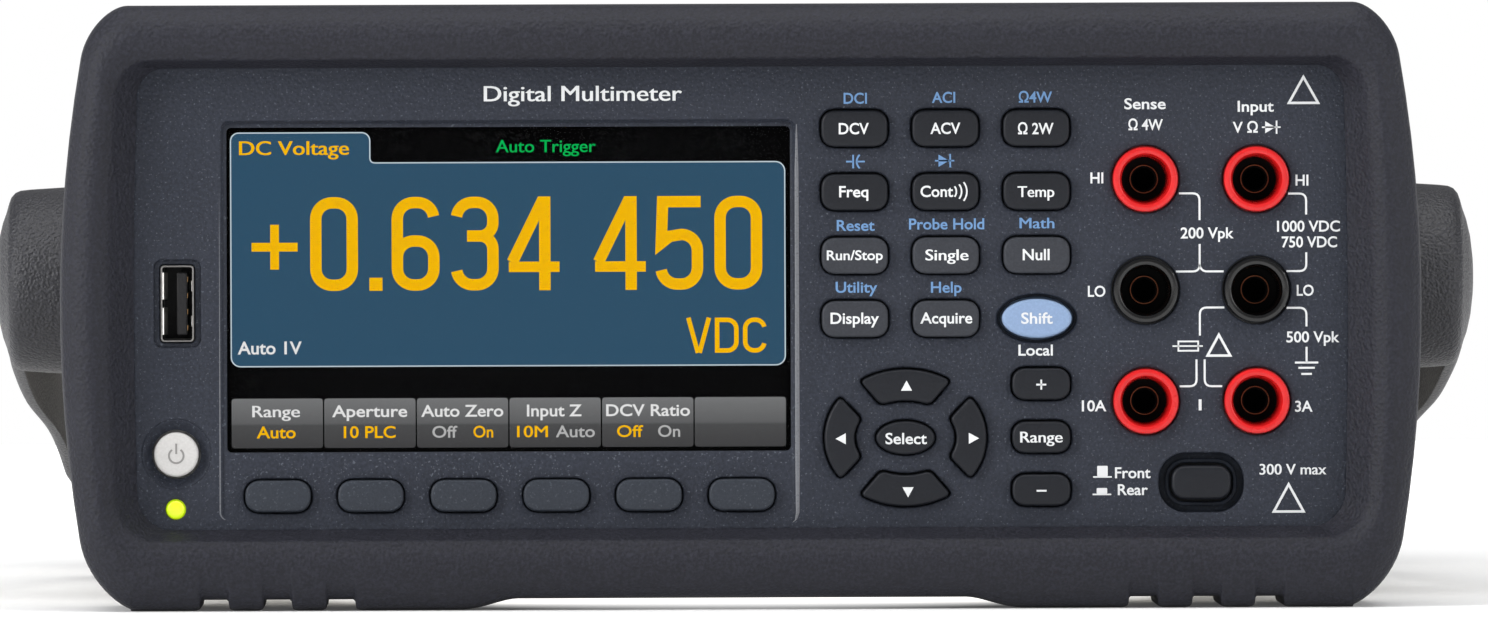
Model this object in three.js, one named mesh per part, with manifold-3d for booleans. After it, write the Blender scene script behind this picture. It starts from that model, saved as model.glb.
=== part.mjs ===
// Half-rack bench multimeter: a steel sleeve over a tray, moulded front and rear panels, two rubber
// bumpers, a tilting carry handle, a keypad, a display, front and rear input jacks and what is inside.
// Millimetres. X runs to the right seen from the front, Y from the front to the rear, and Z up.
// The origin is on the surface that the instrument stands on, under the middle of its outline.

import * as THREE from 'three';
import { mergeVertices } from 'three/addons/utils/BufferGeometryUtils.js';
import Module from 'manifold-3d';

const wasm = await Module();
wasm.setup();

// Driving dimensions -------------------------------------------------------------------------------

const gap = 0.35; // running clearance between neighbouring pieces
const midHeight = 52; // height where the bumpers' sides stand furthest out

const cover = {
  halfWidth: 106.4, bottom: 9.3, top: 97.6, front: -141.3, rear: 139.1, wall: 1.2, corner: 3,
};
const coverSlots = { count: 12, pitch: 6, width: 3, start: -8, sideBottom: 34, sideTop: 62, reach: 32 };

const panel = { halfWidth: 105.8, bottom: 10, top: 96.9, front: -144.6, back: -141.6, corner: 3 };
const skirt = { inset: 0.95, wall: 2, back: -134 };
const bezel = { left: -89.3, right: 9.5, bottom: 14.9, top: 84.1, depth: 1.4 }; // leans back to the top
const opening = { left: -88.2, right: 8.5, bottom: 27.1, top: 82.8 };
const windowPocket = { left: -91, right: 11.3, bottom: 24.9, top: 85, front: -142.7 };
const windowSheet = { front: -142.4, back: -141.4, inset: 0.35 };
const module = { left: -91, right: 12, bottom: 24.9, top: 84.9, front: -141.1, back: -136.5 };

const keyFlange = { front: -141.2, back: -137.2, grow: 1 };
const keyFront = -146;
const keyRise = 0.12; // a key sits this much below the middle of its hole
const functionKey = { width: 11.6, height: 6.4, radius: 2.6 };
const rangeKey = { width: 10.3, height: 5.9, radius: 2.6 };
const softkey = { width: 11.4, height: 5.6, radius: 2.4, first: -79.5, pitch: 15.9, z: 19.6 };
const keyColumns = [19.5, 35.1, 50.7];
const keyRows = [82.3, 71.4, 60.5, 49.65];
const shiftKey = { halfWidth: 6.05, halfHeight: 3.45 };
const rangeKeys = { x: 51.4, rows: [38.4, 29.26, 20.2] };
const cursor = {
  x: 28.1, z: 29.24, outer: [14.1, 11.95], inner: [8.6, 6.2], select: [5.2, 3.05],
  uprightSpan: [34.6, 29.2], sideSpan: [37.4, 31.1], // half angles at the outer and the inner edge
};

const powerButton = { x: -96.9, z: 26.84, radius: 3.8, front: -145.8 };
const powerLed = { x: -97.05, z: 17.4, radius: 1.53, front: -144.9 };
const usb = { x: -96.65, z: 52.7, width: 5.7, height: 13.1, front: -145.2, back: -131, wall: 0.45 };
const selector = {
  x: 78.85, z: 21.4, width: 10.25, height: 6, radius: 2.4, front: -145.6, back: -136, rod: 5,
  rodEnd: -61.5, wellWidth: 14.6, wellHeight: 10.2, wellRadius: 4.6, wellFloor: -142.6,
};

const jack = {
  outer: 5.6, bore: 4.3, contact: 2.05, front: -146.1, contactFront: -137.5, contactEnd: -124,
  flange: 7, flangeFront: -141.3, flangeBack: -139.8, body: 6, back: -121, stud: 2, studEnd: -116,
};
const jackColumns = [69.4, 88.45];
const jackRows = [73.45, 54.4, 35.35];

const tray = { halfWidth: 104, floor: 11.1, sheet: 1, sideTop: 38, front: -133.5, rear: 139 };
const frontBoard = { left: -102, right: 60, bottom: 13.2, top: 93.5, front: -136, back: -134.4 };
const mainBoard = { halfWidth: 98, front: -130, rear: 126, bottom: 14.5, top: 16.1 };

const rearPanel = { front: 139.4, back: 140.9 };
const rearJackRows = [74, 55];
const lowRearJack = { x: 69.4, z: 36 };
const rearBlock = { left: 61.5, right: 96.5, middle: 78, low: 28, step: 46.5, top: 82, front: 127, back: 139.05 };
const rearJack = { outer: 5.6, bore: 4.3, mouth: 144, end: 131 };
const fuse = { x: 88.45, z: 36, barrel: 6, flange: 8, bore: 4.7, front: 105, mouth: 142.6 };
const fuseCap = { shaft: 4.3, shaftEnd: 128, knob: 6.6, front: 142.95, back: 149 };
const bnc = { z: 24, columns: [26, 44], nut: 6.5, neck: 5, flange: 7.6, bore: 4, pin: 1, mouth: 150 };
const fan = { x: -30, z: 62, size: 40, front: 128.9, back: 138.9, bore: 18.7, hub: 9, tip: 18, blades: 7 };
const inlet = { left: -94, right: -66, bottom: 21, top: 69, front: 118, flange: 1.6, back: 143.2 };
const drawer = { halfWidth: 11, bottom: 54.5, top: 64.5, front: 123, back: 144, lip: 1.2 };
const ports = { halfWidth: 8.4, bottom: 16.4, split: 30, top: 43.8, front: 122, back: 141.5 };
const transformer = { left: -95, right: -40, front: 40, rear: 95, bottom: 16.4, top: 68 };

const hinge = { y: -61.6, z: 56 };
const hub = { inner: 109, rim: 127.6, face: 130.6, base: 16.7, edge: 15.7, bore: 11.4, boreEnd: 120.6 };
const pivot = { inner: 106.7, end: 120, radius: 11, flange: 14, flangeEnd: 108.6 };

// Centre line of the handle's right half from the hub to the middle of the crossbar, seen from the
// hinge: out to the side, back, up, then half the band's width and its thickness.
const handlePath = [
  [125.9, -2, 0.5, 14.6, 5], [125.6, 12, -3.1, 14.5, 5], [124.4, 35, -9.1, 14, 4.6],
  [121.6, 60, -15.9, 12.6, 4.2], [119.9, 85, -23, 11.5, 4.4], [118.7, 103, -30, 11, 4.8],
  [116.3, 116, -38.5, 11, 5.5], [111.5, 124, -46.5, 11, 6.5], [103, 126.6, -50.8, 11, 7],
  [92, 127, -51.2, 11, 7.2], [0, 127, -51.2, 11, 7.2],
];
const armSlope = THREE.MathUtils.degToRad(14.6);

// Rubber bumper sections from the inner lip round the outside and back along the case. Each gives half
// the width, the lowest and highest height, the distance from the section plane to the instrument's
// middle, how far the sides bow, the two corner radii and how much of the feet it carries.
const frontRing = [
  [104.1, 13.9, 93.0, 144.95, 1, 5, 6, 0], [108.6, 11.9, 94.4, 150.4, 2, 6, 7, 0],
  [111.6, 8.2, 98.0, 151.6, 3, 7, 9, 0], [115.4, 3.6, 102.2, 149.4, 4, 9, 11, 0],
  [116.8, 1.9, 103.8, 143.6, 4.3, 9, 12, 1], [116.4, 1.9, 103.8, 118.6, 4.3, 9, 12, 1],
  [115.0, 2.9, 102.6, 114.6, 4, 8, 11, 0.5], [108.6, 7.2, 99.6, 111.6, 0.6, 4, 4, 0],
  [106.75, 8.95, 97.95, 111.6, 0, 3, 3, 0], [106.75, 8.95, 97.95, 144.95, 0, 3, 3, 0],
];
const rearRing = [
  [101.5, 15.0, 92.0, 141.25, 0.5, 5, 5, 0], [105.6, 12.4, 94.2, 150.4, 1.5, 6, 7, 0],
  [111.2, 8.2, 98.0, 151.6, 3, 7, 9, 0], [115.4, 3.6, 102.2, 149.4, 4, 9, 11, 0],
  [116.8, 1.9, 103.8, 143.6, 4.3, 9, 12, 1], [116.4, 1.9, 103.8, 125.0, 4.3, 9, 12, 1],
  [115.0, 2.9, 102.6, 121.0, 4, 8, 11, 0.5], [108.6, 7.2, 99.6, 118.0, 0.6, 4, 4, 0],
  [106.75, 8.95, 97.95, 118.0, 0, 3, 3, 0], [106.75, 8.95, 97.95, 141.25, 0, 3, 3, 0],
];
const footStart = 38.5;
const footRamp = 11;
const footNotches = [[66.2, 71.3], [77.1, 82.1], [87.9, 92.9]];

const finishes = {
  rubber: [0x38393f, 0.75, 0], steel: [0xb9b5ab, 0.5, 0.1], zinc: [0xb4b8bb, 0.35, 0.9],
  panel: [0x3b3e47, 0.6, 0], glass: [0x0a0c10, 0.1, 0], screen: [0x30526b, 0.4, 0],
  darkKey: [0x2e3138, 0.6, 0], greyKey: [0x42454d, 0.6, 0], shiftKey: [0x97adcb, 0.5, 0],
  white: [0xdad8d7, 0.45, 0], led: [0xcbdd04, 0.4, 0], red: [0xd8262a, 0.25, 0],
  black: [0x101114, 0.3, 0], board: [0x1c5a34, 0.5, 0], core: [0x6d6f74, 0.5, 0.6],
};

// Solids -------------------------------------------------------------------------------------------

const instrument = new THREE.Group();

// A closed three.js geometry as a solid, its shared corners merged and its empty triangles dropped.
function solidOf(geometry) {
  const bare = new THREE.BufferGeometry();
  bare.setAttribute('position', geometry.getAttribute('position'));
  bare.setIndex(geometry.index);
  const merged = mergeVertices(bare, 1e-4);
  const corners = merged.index.array;
  const kept = [];
  for (let i = 0; i < corners.length; i += 3) {
    const [a, b, c] = corners.slice(i, i + 3);
    if (a !== b && b !== c && c !== a) kept.push(a, b, c);
  }
  const vertProperties = merged.getAttribute('position').array;
  return new wasm.Manifold(new wasm.Mesh({ numProp: 3, vertProperties, triVerts: new Uint32Array(kept) }));
}

function join(first, ...others) {
  return others.reduce((whole, other) => whole.add(other), first);
}

function cut(first, ...others) {
  return others.reduce((whole, other) => whole.subtract(other), first);
}

// Adds a named mesh, and places it where a piece modelled round its own middle belongs.
function piece(name, finish, solid, x = 0, y = 0, z = 0) {
  const { vertProperties, triVerts } = solid.getMesh();
  const geometry = new THREE.BufferGeometry();
  geometry.setAttribute('position', new THREE.BufferAttribute(vertProperties, 3));
  geometry.setIndex(new THREE.BufferAttribute(triVerts, 1));
  geometry.computeVertexNormals();
  const [color, roughness, metalness] = finishes[finish];
  const mesh = new THREE.Mesh(geometry, new THREE.MeshStandardMaterial({ color, roughness, metalness }));
  mesh.name = name;
  mesh.position.set(x, y, z);
  instrument.add(mesh);
}

function block(left, right, front, back, bottom, top) {
  const geometry = new THREE.BoxGeometry(right - left, back - front, top - bottom);
  return solidOf(geometry.translate((left + right) / 2, (front + back) / 2, (bottom + top) / 2));
}

// An outline in X and Z made into a slab from front to back.
function slab(outline, front, back) {
  const geometry = new THREE.ExtrudeGeometry(new THREE.Shape(outline), {
    depth: back - front, bevelEnabled: false,
  });
  return solidOf(geometry.rotateX(Math.PI / 2).translate(0, back, 0));
}

// A turned piece about a line along Y. The profile gives radius and Y, going round anticlockwise.
function turned(profile, x = 0, z = 0, sides = 16) {
  const points = profile.map(([radius, y]) => new THREE.Vector2(radius, y));
  return solidOf(new THREE.LatheGeometry(points, sides).translate(x, 0, z));
}

function disc(radius, front, back, x = 0, z = 0, sides = 16) {
  return turned([[0, front], [radius, front], [radius, back], [0, back]], x, z, sides);
}

function upright(radius, bottom, top, x, y, sides = 10) {
  const geometry = new THREE.CylinderGeometry(radius, radius, top - bottom, sides);
  return solidOf(geometry.rotateX(Math.PI / 2).translate(x, y, (bottom + top) / 2));
}

// Outlines -----------------------------------------------------------------------------------------

function arc(x, z, radiusX, radiusZ, from, to, steps) {
  return Array.from({ length: steps + 1 }, (_, i) => {
    const angle = THREE.MathUtils.degToRad(from + ((to - from) * i) / steps);
    return new THREE.Vector2(x + radiusX * Math.cos(angle), z + radiusZ * Math.sin(angle));
  });
}

function ellipse(halfWidth, halfHeight, steps = 16) {
  return arc(0, 0, halfWidth, halfHeight, 0, 360, steps).slice(0, -1);
}

function roundedRect(left, right, bottom, top, radius, steps = 2) {
  return [
    ...arc(right - radius, bottom + radius, radius, radius, -90, 0, steps),
    ...arc(right - radius, top - radius, radius, radius, 0, 90, steps),
    ...arc(left + radius, top - radius, radius, radius, 90, 180, steps),
    ...arc(left + radius, bottom + radius, radius, radius, 180, 270, steps),
  ];
}

function pill(size, grow) {
  const halfWidth = size.width / 2 + grow;
  const halfHeight = size.height / 2 + grow;
  return roundedRect(-halfWidth, halfWidth, -halfHeight, halfHeight, size.radius + grow);
}

// One quarter of the cursor ring, between its two ellipses.
function ringQuarter(middle, [outerSpan, innerSpan], grow) {
  const [outerX, outerZ] = cursor.outer.map((radius) => radius + grow);
  const [innerX, innerZ] = cursor.inner.map((radius) => radius - grow);
  const outerHalf = outerSpan + THREE.MathUtils.radToDeg(grow / cursor.outer[0]);
  const innerHalf = innerSpan + THREE.MathUtils.radToDeg(grow / cursor.inner[1]);
  return [
    ...arc(0, 0, outerX, outerZ, middle - outerHalf, middle + outerHalf, 6),
    ...arc(0, 0, innerX, innerZ, middle + innerHalf, middle - innerHalf, 4),
  ];
}

// Lofts: loops of equal length joined in turn, open like a ring or closed by a cap at each end ----------

function loft(loops, isRing) {
  const count = loops[0].length;
  const positions = loops.flat().flatMap((point) => point.toArray());
  const index = [];
  const joints = isRing ? loops.length : loops.length - 1;
  for (let row = 0; row < joints; row += 1) {
    const next = (row + 1) % loops.length;
    for (let i = 0; i < count; i += 1) {
      const j = (i + 1) % count;
      const [a, b, c, d] = [row * count + i, row * count + j, next * count + j, next * count + i];
      index.push(a, b, c, a, c, d);
    }
  }
  if (!isRing) {
    const last = (loops.length - 1) * count;
    for (let i = 1; i < count - 1; i += 1) {
      index.push(0, i + 1, i, last, last + i, last + i + 1);
    }
  }
  const geometry = new THREE.BufferGeometry();
  geometry.setAttribute('position', new THREE.Float32BufferAttribute(positions, 3));
  geometry.setIndex(index);
  return solidOf(geometry);
}

// Pieces ===========================================================================================

function makeCover() {
  const { halfWidth, bottom, top, front, rear, wall, corner } = cover;
  const outside = slab(roundedRect(-halfWidth, halfWidth, bottom, top, corner), front, rear);
  const inside = slab(
    roundedRect(-halfWidth + wall, halfWidth - wall, bottom + wall, top - wall, corner - wall),
    front - 1, rear + 1,
  );
  const slots = [];
  for (let i = 0; i < coverSlots.count; i += 1) {
    const start = coverSlots.start + i * coverSlots.pitch;
    const end = start + coverSlots.width;
    slots.push(block(-halfWidth - 1, halfWidth + 1, start, end, coverSlots.sideBottom, coverSlots.sideTop));
    slots.push(block(-coverSlots.reach, coverSlots.reach, start, end, bottom - 1, bottom + wall + 1));
  }
  piece('case_cover', 'steel', cut(outside, inside, ...slots));
}

function makeTray() {
  const { halfWidth, floor, sheet, sideTop, front, rear } = tray;
  const sides = [-1, 1].map((side) => {
    const outer = side * halfWidth;
    const inner = side * (halfWidth - sheet);
    return block(Math.min(outer, inner), Math.max(outer, inner), front, rear, floor, sideTop);
  });
  const posts = [];
  for (const x of [-90, 90]) {
    for (const y of [-118, 8, 114]) {
      posts.push(upright(3.2, floor + sheet / 2, mainBoard.bottom - 0.3, x, y, 8));
    }
  }
  const bottomSheet = block(-halfWidth, halfWidth, front, rear, floor, floor + sheet);
  piece('chassis_tray', 'zinc', join(bottomSheet, ...sides, ...posts));
}

// A ring section: the bottom with its feet, then the bowed sides and the rounded corners, going round.
function ringLoop([halfWidth, bottom, top, y, bow, topRadius, bottomRadius, feet], side) {
  const stations = [[footStart, 0], [footStart + footRamp, 1]];
  for (const [near, far] of footNotches) {
    stations.push([near, 1], [near + 0.4, 0], [far - 0.4, 0], [far, 1]);
  }
  const half = stations.map(([x, foot]) => new THREE.Vector2(x, bottom * (1 - foot * feet)));
  const low = bottom * (1 - feet);
  const sideways = halfWidth - Math.max(topRadius, bottomRadius);
  const round = [
    ...arc(halfWidth - bottomRadius, low + bottomRadius, bottomRadius, bottomRadius, -90, 0, 4),
    new THREE.Vector2(halfWidth, (low + bottomRadius + midHeight) / 2),
    new THREE.Vector2(halfWidth, midHeight),
    new THREE.Vector2(halfWidth, (top - topRadius + midHeight) / 2),
    ...arc(halfWidth - topRadius, top - topRadius, topRadius, topRadius, 0, 90, 4),
  ];
  for (const point of round) {
    const share = THREE.MathUtils.clamp((point.x - sideways) / (halfWidth - sideways), 0, 1);
    point.x -= bow * ((point.y - midHeight) / 46) ** 2 * Math.sqrt(share);
    half.push(point);
  }
  const whole = [...half, ...half.map(({ x, y: z }) => new THREE.Vector2(-x, z)).reverse()];
  return whole.map(({ x, y: z }) => new THREE.Vector3(x, side * y, z));
}

function makeBumpers() {
  const frontLoops = frontRing.map((section) => ringLoop(section, -1).reverse());
  const rearLoops = rearRing.map((section) => ringLoop(section, 1));
  piece('front_bumper', 'rubber', loft(frontLoops, true));
  piece('rear_bumper', 'rubber', loft(rearLoops, true));
}

// The keys, each with the outline that its cap, its hole and its flange share.
function listKeys() {
  const keys = [];
  const addKey = (name, finish, x, z, outline) => keys.push({ name, finish, x, z, outline });
  for (let i = 0; i < 6; i += 1) {
    const x = softkey.first + i * softkey.pitch;
    addKey(`softkey_${i + 1}`, 'greyKey', x, softkey.z, (grow) => pill(softkey, grow));
  }
  const names = [
    ['key_dcv', 'key_acv', 'key_ohms'], ['key_freq', 'key_cont', 'key_temp'],
    ['key_run', 'key_single', 'key_null'], ['key_display', 'key_acquire'],
  ];
  names.forEach((row, rowIndex) => {
    const finish = rowIndex < 2 ? 'darkKey' : 'greyKey';
    row.forEach((name, column) => {
      addKey(name, finish, keyColumns[column], keyRows[rowIndex], (grow) => pill(functionKey, grow));
    });
  });
  addKey('key_shift', 'shiftKey', keyColumns[2], keyRows[3],
    (grow) => ellipse(shiftKey.halfWidth + grow, shiftKey.halfHeight + grow));
  const quarters = [['right', 0], ['up', 90], ['left', 180], ['down', 270]];
  for (const [name, middle] of quarters) {
    const span = middle % 180 === 90 ? cursor.uprightSpan : cursor.sideSpan;
    addKey(`key_${name}`, 'darkKey', cursor.x, cursor.z, (grow) => ringQuarter(middle, span, grow));
  }
  addKey('key_select', 'darkKey', cursor.x, cursor.z,
    (grow) => ellipse(cursor.select[0] + grow, cursor.select[1] + grow));
  ['key_plus', 'key_range', 'key_minus'].forEach((name, row) => {
    addKey(name, 'darkKey', rangeKeys.x, rangeKeys.rows[row], (grow) => pill(rangeKey, grow));
  });
  return keys;
}

function makeKeys(keys) {
  for (const { name, finish, x, z, outline } of keys) {
    const cap = slab(outline(0), keyFront, keyFlange.back);
    const flange = slab(outline(keyFlange.grow), keyFlange.front, keyFlange.back);
    piece(name, finish, join(cap, flange), x, 0, z);
  }
  const button = join(
    disc(powerButton.radius, powerButton.front, keyFlange.back),
    disc(powerButton.radius + keyFlange.grow, keyFlange.front, keyFlange.back),
  );
  piece('power_button', 'white', button, powerButton.x, 0, powerButton.z);
  const lens = join(
    disc(powerLed.radius, powerLed.front, keyFlange.back, 0, 0, 12),
    disc(powerLed.radius + 0.9, keyFlange.front, keyFlange.back, 0, 0, 12),
  );
  piece('power_led', 'led', lens, powerLed.x, 0, powerLed.z);
  const cap = slab(pill(selector, 0), selector.front, selector.back);
  const collar = slab(pill(selector, keyFlange.grow), keyFlange.front, keyFlange.front + 2);
  const half = selector.rod / 2;
  const rod = block(-half, half, selector.back - 1, selector.rodEnd, -half, half);
  piece('terminal_select_button', 'black', join(cap, collar, rod), selector.x, 0, selector.z);
}

function shifted(outline, x, z) {
  return outline.map((point) => new THREE.Vector2(point.x + x, point.y + z));
}

function makeFrontPanel(keys) {
  const { halfWidth, bottom, top, front, back, corner } = panel;
  const plate = slab(roundedRect(-halfWidth, halfWidth, bottom, top, corner), front, back);
  const outside = roundedRect(-halfWidth + skirt.inset, halfWidth - skirt.inset,
    bottom + skirt.inset - 0.1, top - skirt.inset + 0.1, corner - 1);
  const inset = skirt.inset + skirt.wall;
  const inside = roundedRect(-halfWidth + inset, halfWidth - inset, bottom + inset - 0.1, top - inset + 0.1, 1);
  const rim = cut(slab(outside, back - 0.5, skirt.back), slab(inside, back, skirt.back + 1));
  // The display's surround is a wedge cut that is deepest along its top edge.
  const side = new THREE.Shape([
    new THREE.Vector2(front - 1, bezel.bottom), new THREE.Vector2(front, bezel.bottom),
    new THREE.Vector2(front + bezel.depth, bezel.top), new THREE.Vector2(front - 1, bezel.top),
  ]);
  const wedge = new THREE.ExtrudeGeometry(side, { depth: bezel.right - bezel.left, bevelEnabled: false });
  wedge.rotateX(Math.PI / 2).rotateZ(Math.PI / 2).translate(bezel.left, 0, 0);
  const cuts = [solidOf(wedge)];
  cuts.push(block(opening.left, opening.right, front - 1, back + 1, opening.bottom, opening.top));
  const pocket = windowPocket;
  cuts.push(block(pocket.left, pocket.right, pocket.front, back + 1, pocket.bottom, pocket.top));
  for (const { x, z, outline } of keys) {
    cuts.push(slab(shifted(outline(gap + keyRise), x, z + keyRise), front - 1, back + 1));
  }
  cuts.push(disc(powerButton.radius + gap + 0.1, front - 1, back + 1, powerButton.x, powerButton.z));
  cuts.push(disc(powerLed.radius + gap, front - 1, back + 1, powerLed.x, powerLed.z, 12));
  const usbHalf = [usb.width / 2 + gap, usb.height / 2 + gap];
  cuts.push(block(usb.x - usbHalf[0], usb.x + usbHalf[0], front - 1, back + 1, usb.z - usbHalf[1], usb.z + usbHalf[1]));
  for (const x of jackColumns) {
    for (const z of jackRows) cuts.push(disc(jack.outer + gap + 0.15, front - 1, back + 1, x, z));
  }
  const well = { width: selector.wellWidth, height: selector.wellHeight, radius: selector.wellRadius };
  cuts.push(slab(shifted(pill(well, 0), selector.x, selector.z), front - 1, selector.wellFloor));
  cuts.push(slab(shifted(pill(selector, gap), selector.x, selector.z), front - 1, back + 1));
  piece('front_panel', 'panel', cut(join(plate, rim), ...cuts));
}

function makeDisplay() {
  const pocket = windowPocket;
  const { front, back, inset } = windowSheet;
  piece('display_window', 'glass', block(
    pocket.left + inset, pocket.right - inset, front, back, pocket.bottom + inset, pocket.top - inset,
  ));
  const { left, right, bottom, top } = module;
  const frameStep = block(left + 4, right - 4, module.back - 1, module.back + 0.3, bottom + 4, top - 4);
  piece('display_module', 'screen', join(
    block(left, right, module.front, module.back, bottom, top), frameStep,
  ));
}

function makeJacks() {
  const names = [
    ['jack_sense_hi', 'jack_input_hi', 'red'], ['jack_sense_lo', 'jack_input_lo', 'black'],
    ['jack_amps_10', 'jack_amps_3', 'red'],
  ];
  const profile = [
    [0, jack.contactEnd], [jack.contact, jack.contactEnd], [jack.contact, jack.contactFront],
    [jack.bore, jack.contactFront], [jack.bore, jack.front], [jack.outer, jack.front],
    [jack.outer, jack.flangeFront], [jack.flange, jack.flangeFront], [jack.flange, jack.flangeBack],
    [jack.body, jack.flangeBack], [jack.body, jack.back], [jack.stud, jack.back],
    [jack.stud, jack.studEnd], [0, jack.studEnd],
  ];
  names.forEach(([leftName, rightName, finish], row) => {
    [leftName, rightName].forEach((name, column) => {
      piece(name, finish, turned(profile, 0, 0, 12), jackColumns[column], 0, jackRows[row]);
    });
  });
}

// The port's shell stands on its side, so the tongue is a wall along one of its long sides.
function makeUsbPort() {
  const { width, height, front, back, wall } = usb;
  const shell = block(-width / 2, width / 2, front, back, -height / 2, height / 2);
  const cavity = block(
    -width / 2 + wall, width / 2 - wall, front - 1, back - 2, -height / 2 + wall, height / 2 - wall,
  );
  const tongue = block(0.4, 2.2, front + 1, back - 1, -height / 2 + 1.2, height / 2 - 1.2);
  piece('usb_port', 'zinc', join(cut(shell, cavity), tongue), usb.x, 0, usb.z);
}

function makeBoards() {
  const { left, right, bottom, top, front, back } = frontBoard;
  const notch = block(left - 1, usb.x + usb.width / 2 + 1, front - 1, back + 1,
    usb.z - usb.height / 2 - 1, usb.z + usb.height / 2 + 1);
  const connectors = [[-60, 0], [20, 44]].map(([start, end]) => (
    block(start, end, back - 0.5, back + 4, 76, 82)));
  piece('front_board', 'board', join(cut(block(left, right, front, back, bottom, top), notch), ...connectors));

  const board = mainBoard;
  const seat = board.top - 0.6;
  const parts = [
    block(-board.halfWidth, board.halfWidth, board.front, board.rear, board.bottom, board.top),
    block(73, 85, -58, -38, seat, 27), // change-over switch that the terminal button's rod pushes
    block(-24, 46, -104, -28, seat, 25), // shield over the input amplifier
    block(-88, -62, -96, -20, seat, 42), // heat sink
    block(-50, -30, -112, -40, seat, 22), // reference and its oven
    block(-20, 30, 86, 112, seat, 24), // digital supply
    upright(9, seat, 46, -8, 48), upright(9, seat, 46, 16, 48), // reservoir capacitors
    upright(6, seat, 38, 38, 48, 8),
  ];
  for (let i = 0; i < 4; i += 1) {
    parts.push(block(54, 66, -106 + i * 20, -92 + i * 20, seat, 26)); // relays
  }
  piece('main_board', 'board', join(...parts));
}

function makeTransformer() {
  const { left, right, front, rear, bottom, top } = transformer;
  const core = block(left, right, front + 12, rear - 12, bottom, top);
  const winding = slab(roundedRect(left + 10, right - 10, bottom + 9, top - 9, 5, 2), front, rear);
  piece('power_transformer', 'core', join(core, winding));
}

function makeRearPanel() {
  const { halfWidth, bottom, top, corner } = panel;
  const { front, back } = rearPanel;
  const through = [front - 1, back + 1];
  const cuts = [];
  for (const x of jackColumns) {
    for (const z of rearJackRows) cuts.push(disc(rearJack.outer + gap + 0.15, ...through, x, z));
  }
  cuts.push(disc(rearJack.outer + gap + 0.15, ...through, lowRearJack.x, lowRearJack.z));
  cuts.push(disc(fuse.barrel + gap + 0.15, ...through, fuse.x, fuse.z));
  for (const x of bnc.columns) cuts.push(disc(bnc.neck + gap + 0.15, ...through, x, bnc.z));
  cuts.push(block(inlet.left - gap, inlet.right + gap, ...through, inlet.bottom - gap, inlet.top + gap));
  cuts.push(block(-ports.halfWidth - gap, ports.halfWidth + gap, ...through, ports.bottom - gap, ports.top + gap));
  for (let i = -3; i <= 3; i += 1) {
    const reach = Math.sqrt(17 ** 2 - (i * 5) ** 2);
    cuts.push(block(fan.x - reach, fan.x + reach, ...through, fan.z + i * 5 - 1.5, fan.z + i * 5 + 1.5));
  }
  const plate = slab(roundedRect(-halfWidth, halfWidth, bottom, top, corner), front, back);
  piece('rear_panel', 'zinc', cut(plate, ...cuts));
}

function makeRearTerminals() {
  const { left, right, middle, low, step, top, front, back } = rearBlock;
  const places = [lowRearJack];
  for (const x of jackColumns) {
    for (const z of rearJackRows) places.push({ x, z });
  }
  const body = join(
    block(left, right, front, back, step, top), block(left, middle, front, back, low, step + 1),
  );
  const shrouds = places.map(({ x, z }) => disc(rearJack.outer, front + 1, rearJack.mouth, x, z, 12));
  const bores = places.map(({ x, z }) => disc(rearJack.bore, rearJack.end, rearJack.mouth + 1, x, z, 12));
  piece('rear_terminal_block', 'black', cut(join(body, ...shrouds), ...bores));

  const barrel = turned([
    [0, fuse.front], [fuse.barrel, fuse.front], [fuse.barrel, rearPanel.back + gap],
    [fuse.flange, rearPanel.back + gap], [fuse.flange, fuse.mouth], [fuse.bore, fuse.mouth],
    [fuse.bore, fuse.front + 3], [0, fuse.front + 3],
  ], 0, 0, 14);
  piece('current_fuse_holder', 'black', barrel, fuse.x, 0, fuse.z);
  const cap = turned([
    [0, fuseCap.shaftEnd], [fuseCap.shaft, fuseCap.shaftEnd], [fuseCap.shaft, fuseCap.front],
    [fuseCap.knob, fuseCap.front], [fuseCap.knob - 0.6, fuseCap.back], [0, fuseCap.back],
  ], 0, 0, 14);
  const driverSlot = block(-4.5, 4.5, fuseCap.back - 1.2, fuseCap.back + 1, -0.8, 0.8);
  piece('current_fuse_cap', 'black', cut(cap, driverSlot), fuse.x, 0, fuse.z);

  const socket = turned([
    [0, 128], [bnc.nut, 128], [bnc.nut, rearPanel.front - gap], [bnc.neck, rearPanel.front - gap],
    [bnc.neck, rearPanel.back + gap], [bnc.flange, rearPanel.back + gap], [bnc.flange, 142.6],
    [bnc.neck, 142.6], [bnc.neck, bnc.mouth], [bnc.bore, bnc.mouth], [bnc.bore, 143.4],
    [bnc.pin, 143.4], [bnc.pin, 149], [0, 149],
  ], 0, 0, 12);
  piece('trigger_bnc', 'zinc', socket, bnc.columns[1], 0, bnc.z);
  piece('output_bnc', 'zinc', socket, bnc.columns[0], 0, bnc.z);
}

function makeDataPorts() {
  const { halfWidth, bottom, split, top, front, back } = ports;
  const network = block(-5.9, 5.9, front + 4, back + 1, split + 2, top - 3);
  const square = block(-4.2, 4.2, front + 4, back + 1, bottom + 2.5, split - 3);
  const stem = block(-2.8, 2.8, front + 3, back - 2, bottom + 4.6, split - 5.2);
  const body = block(-halfWidth, halfWidth, front, back, bottom, top);
  piece('data_port_stack', 'zinc', join(cut(body, network, square), stem));
}

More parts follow.
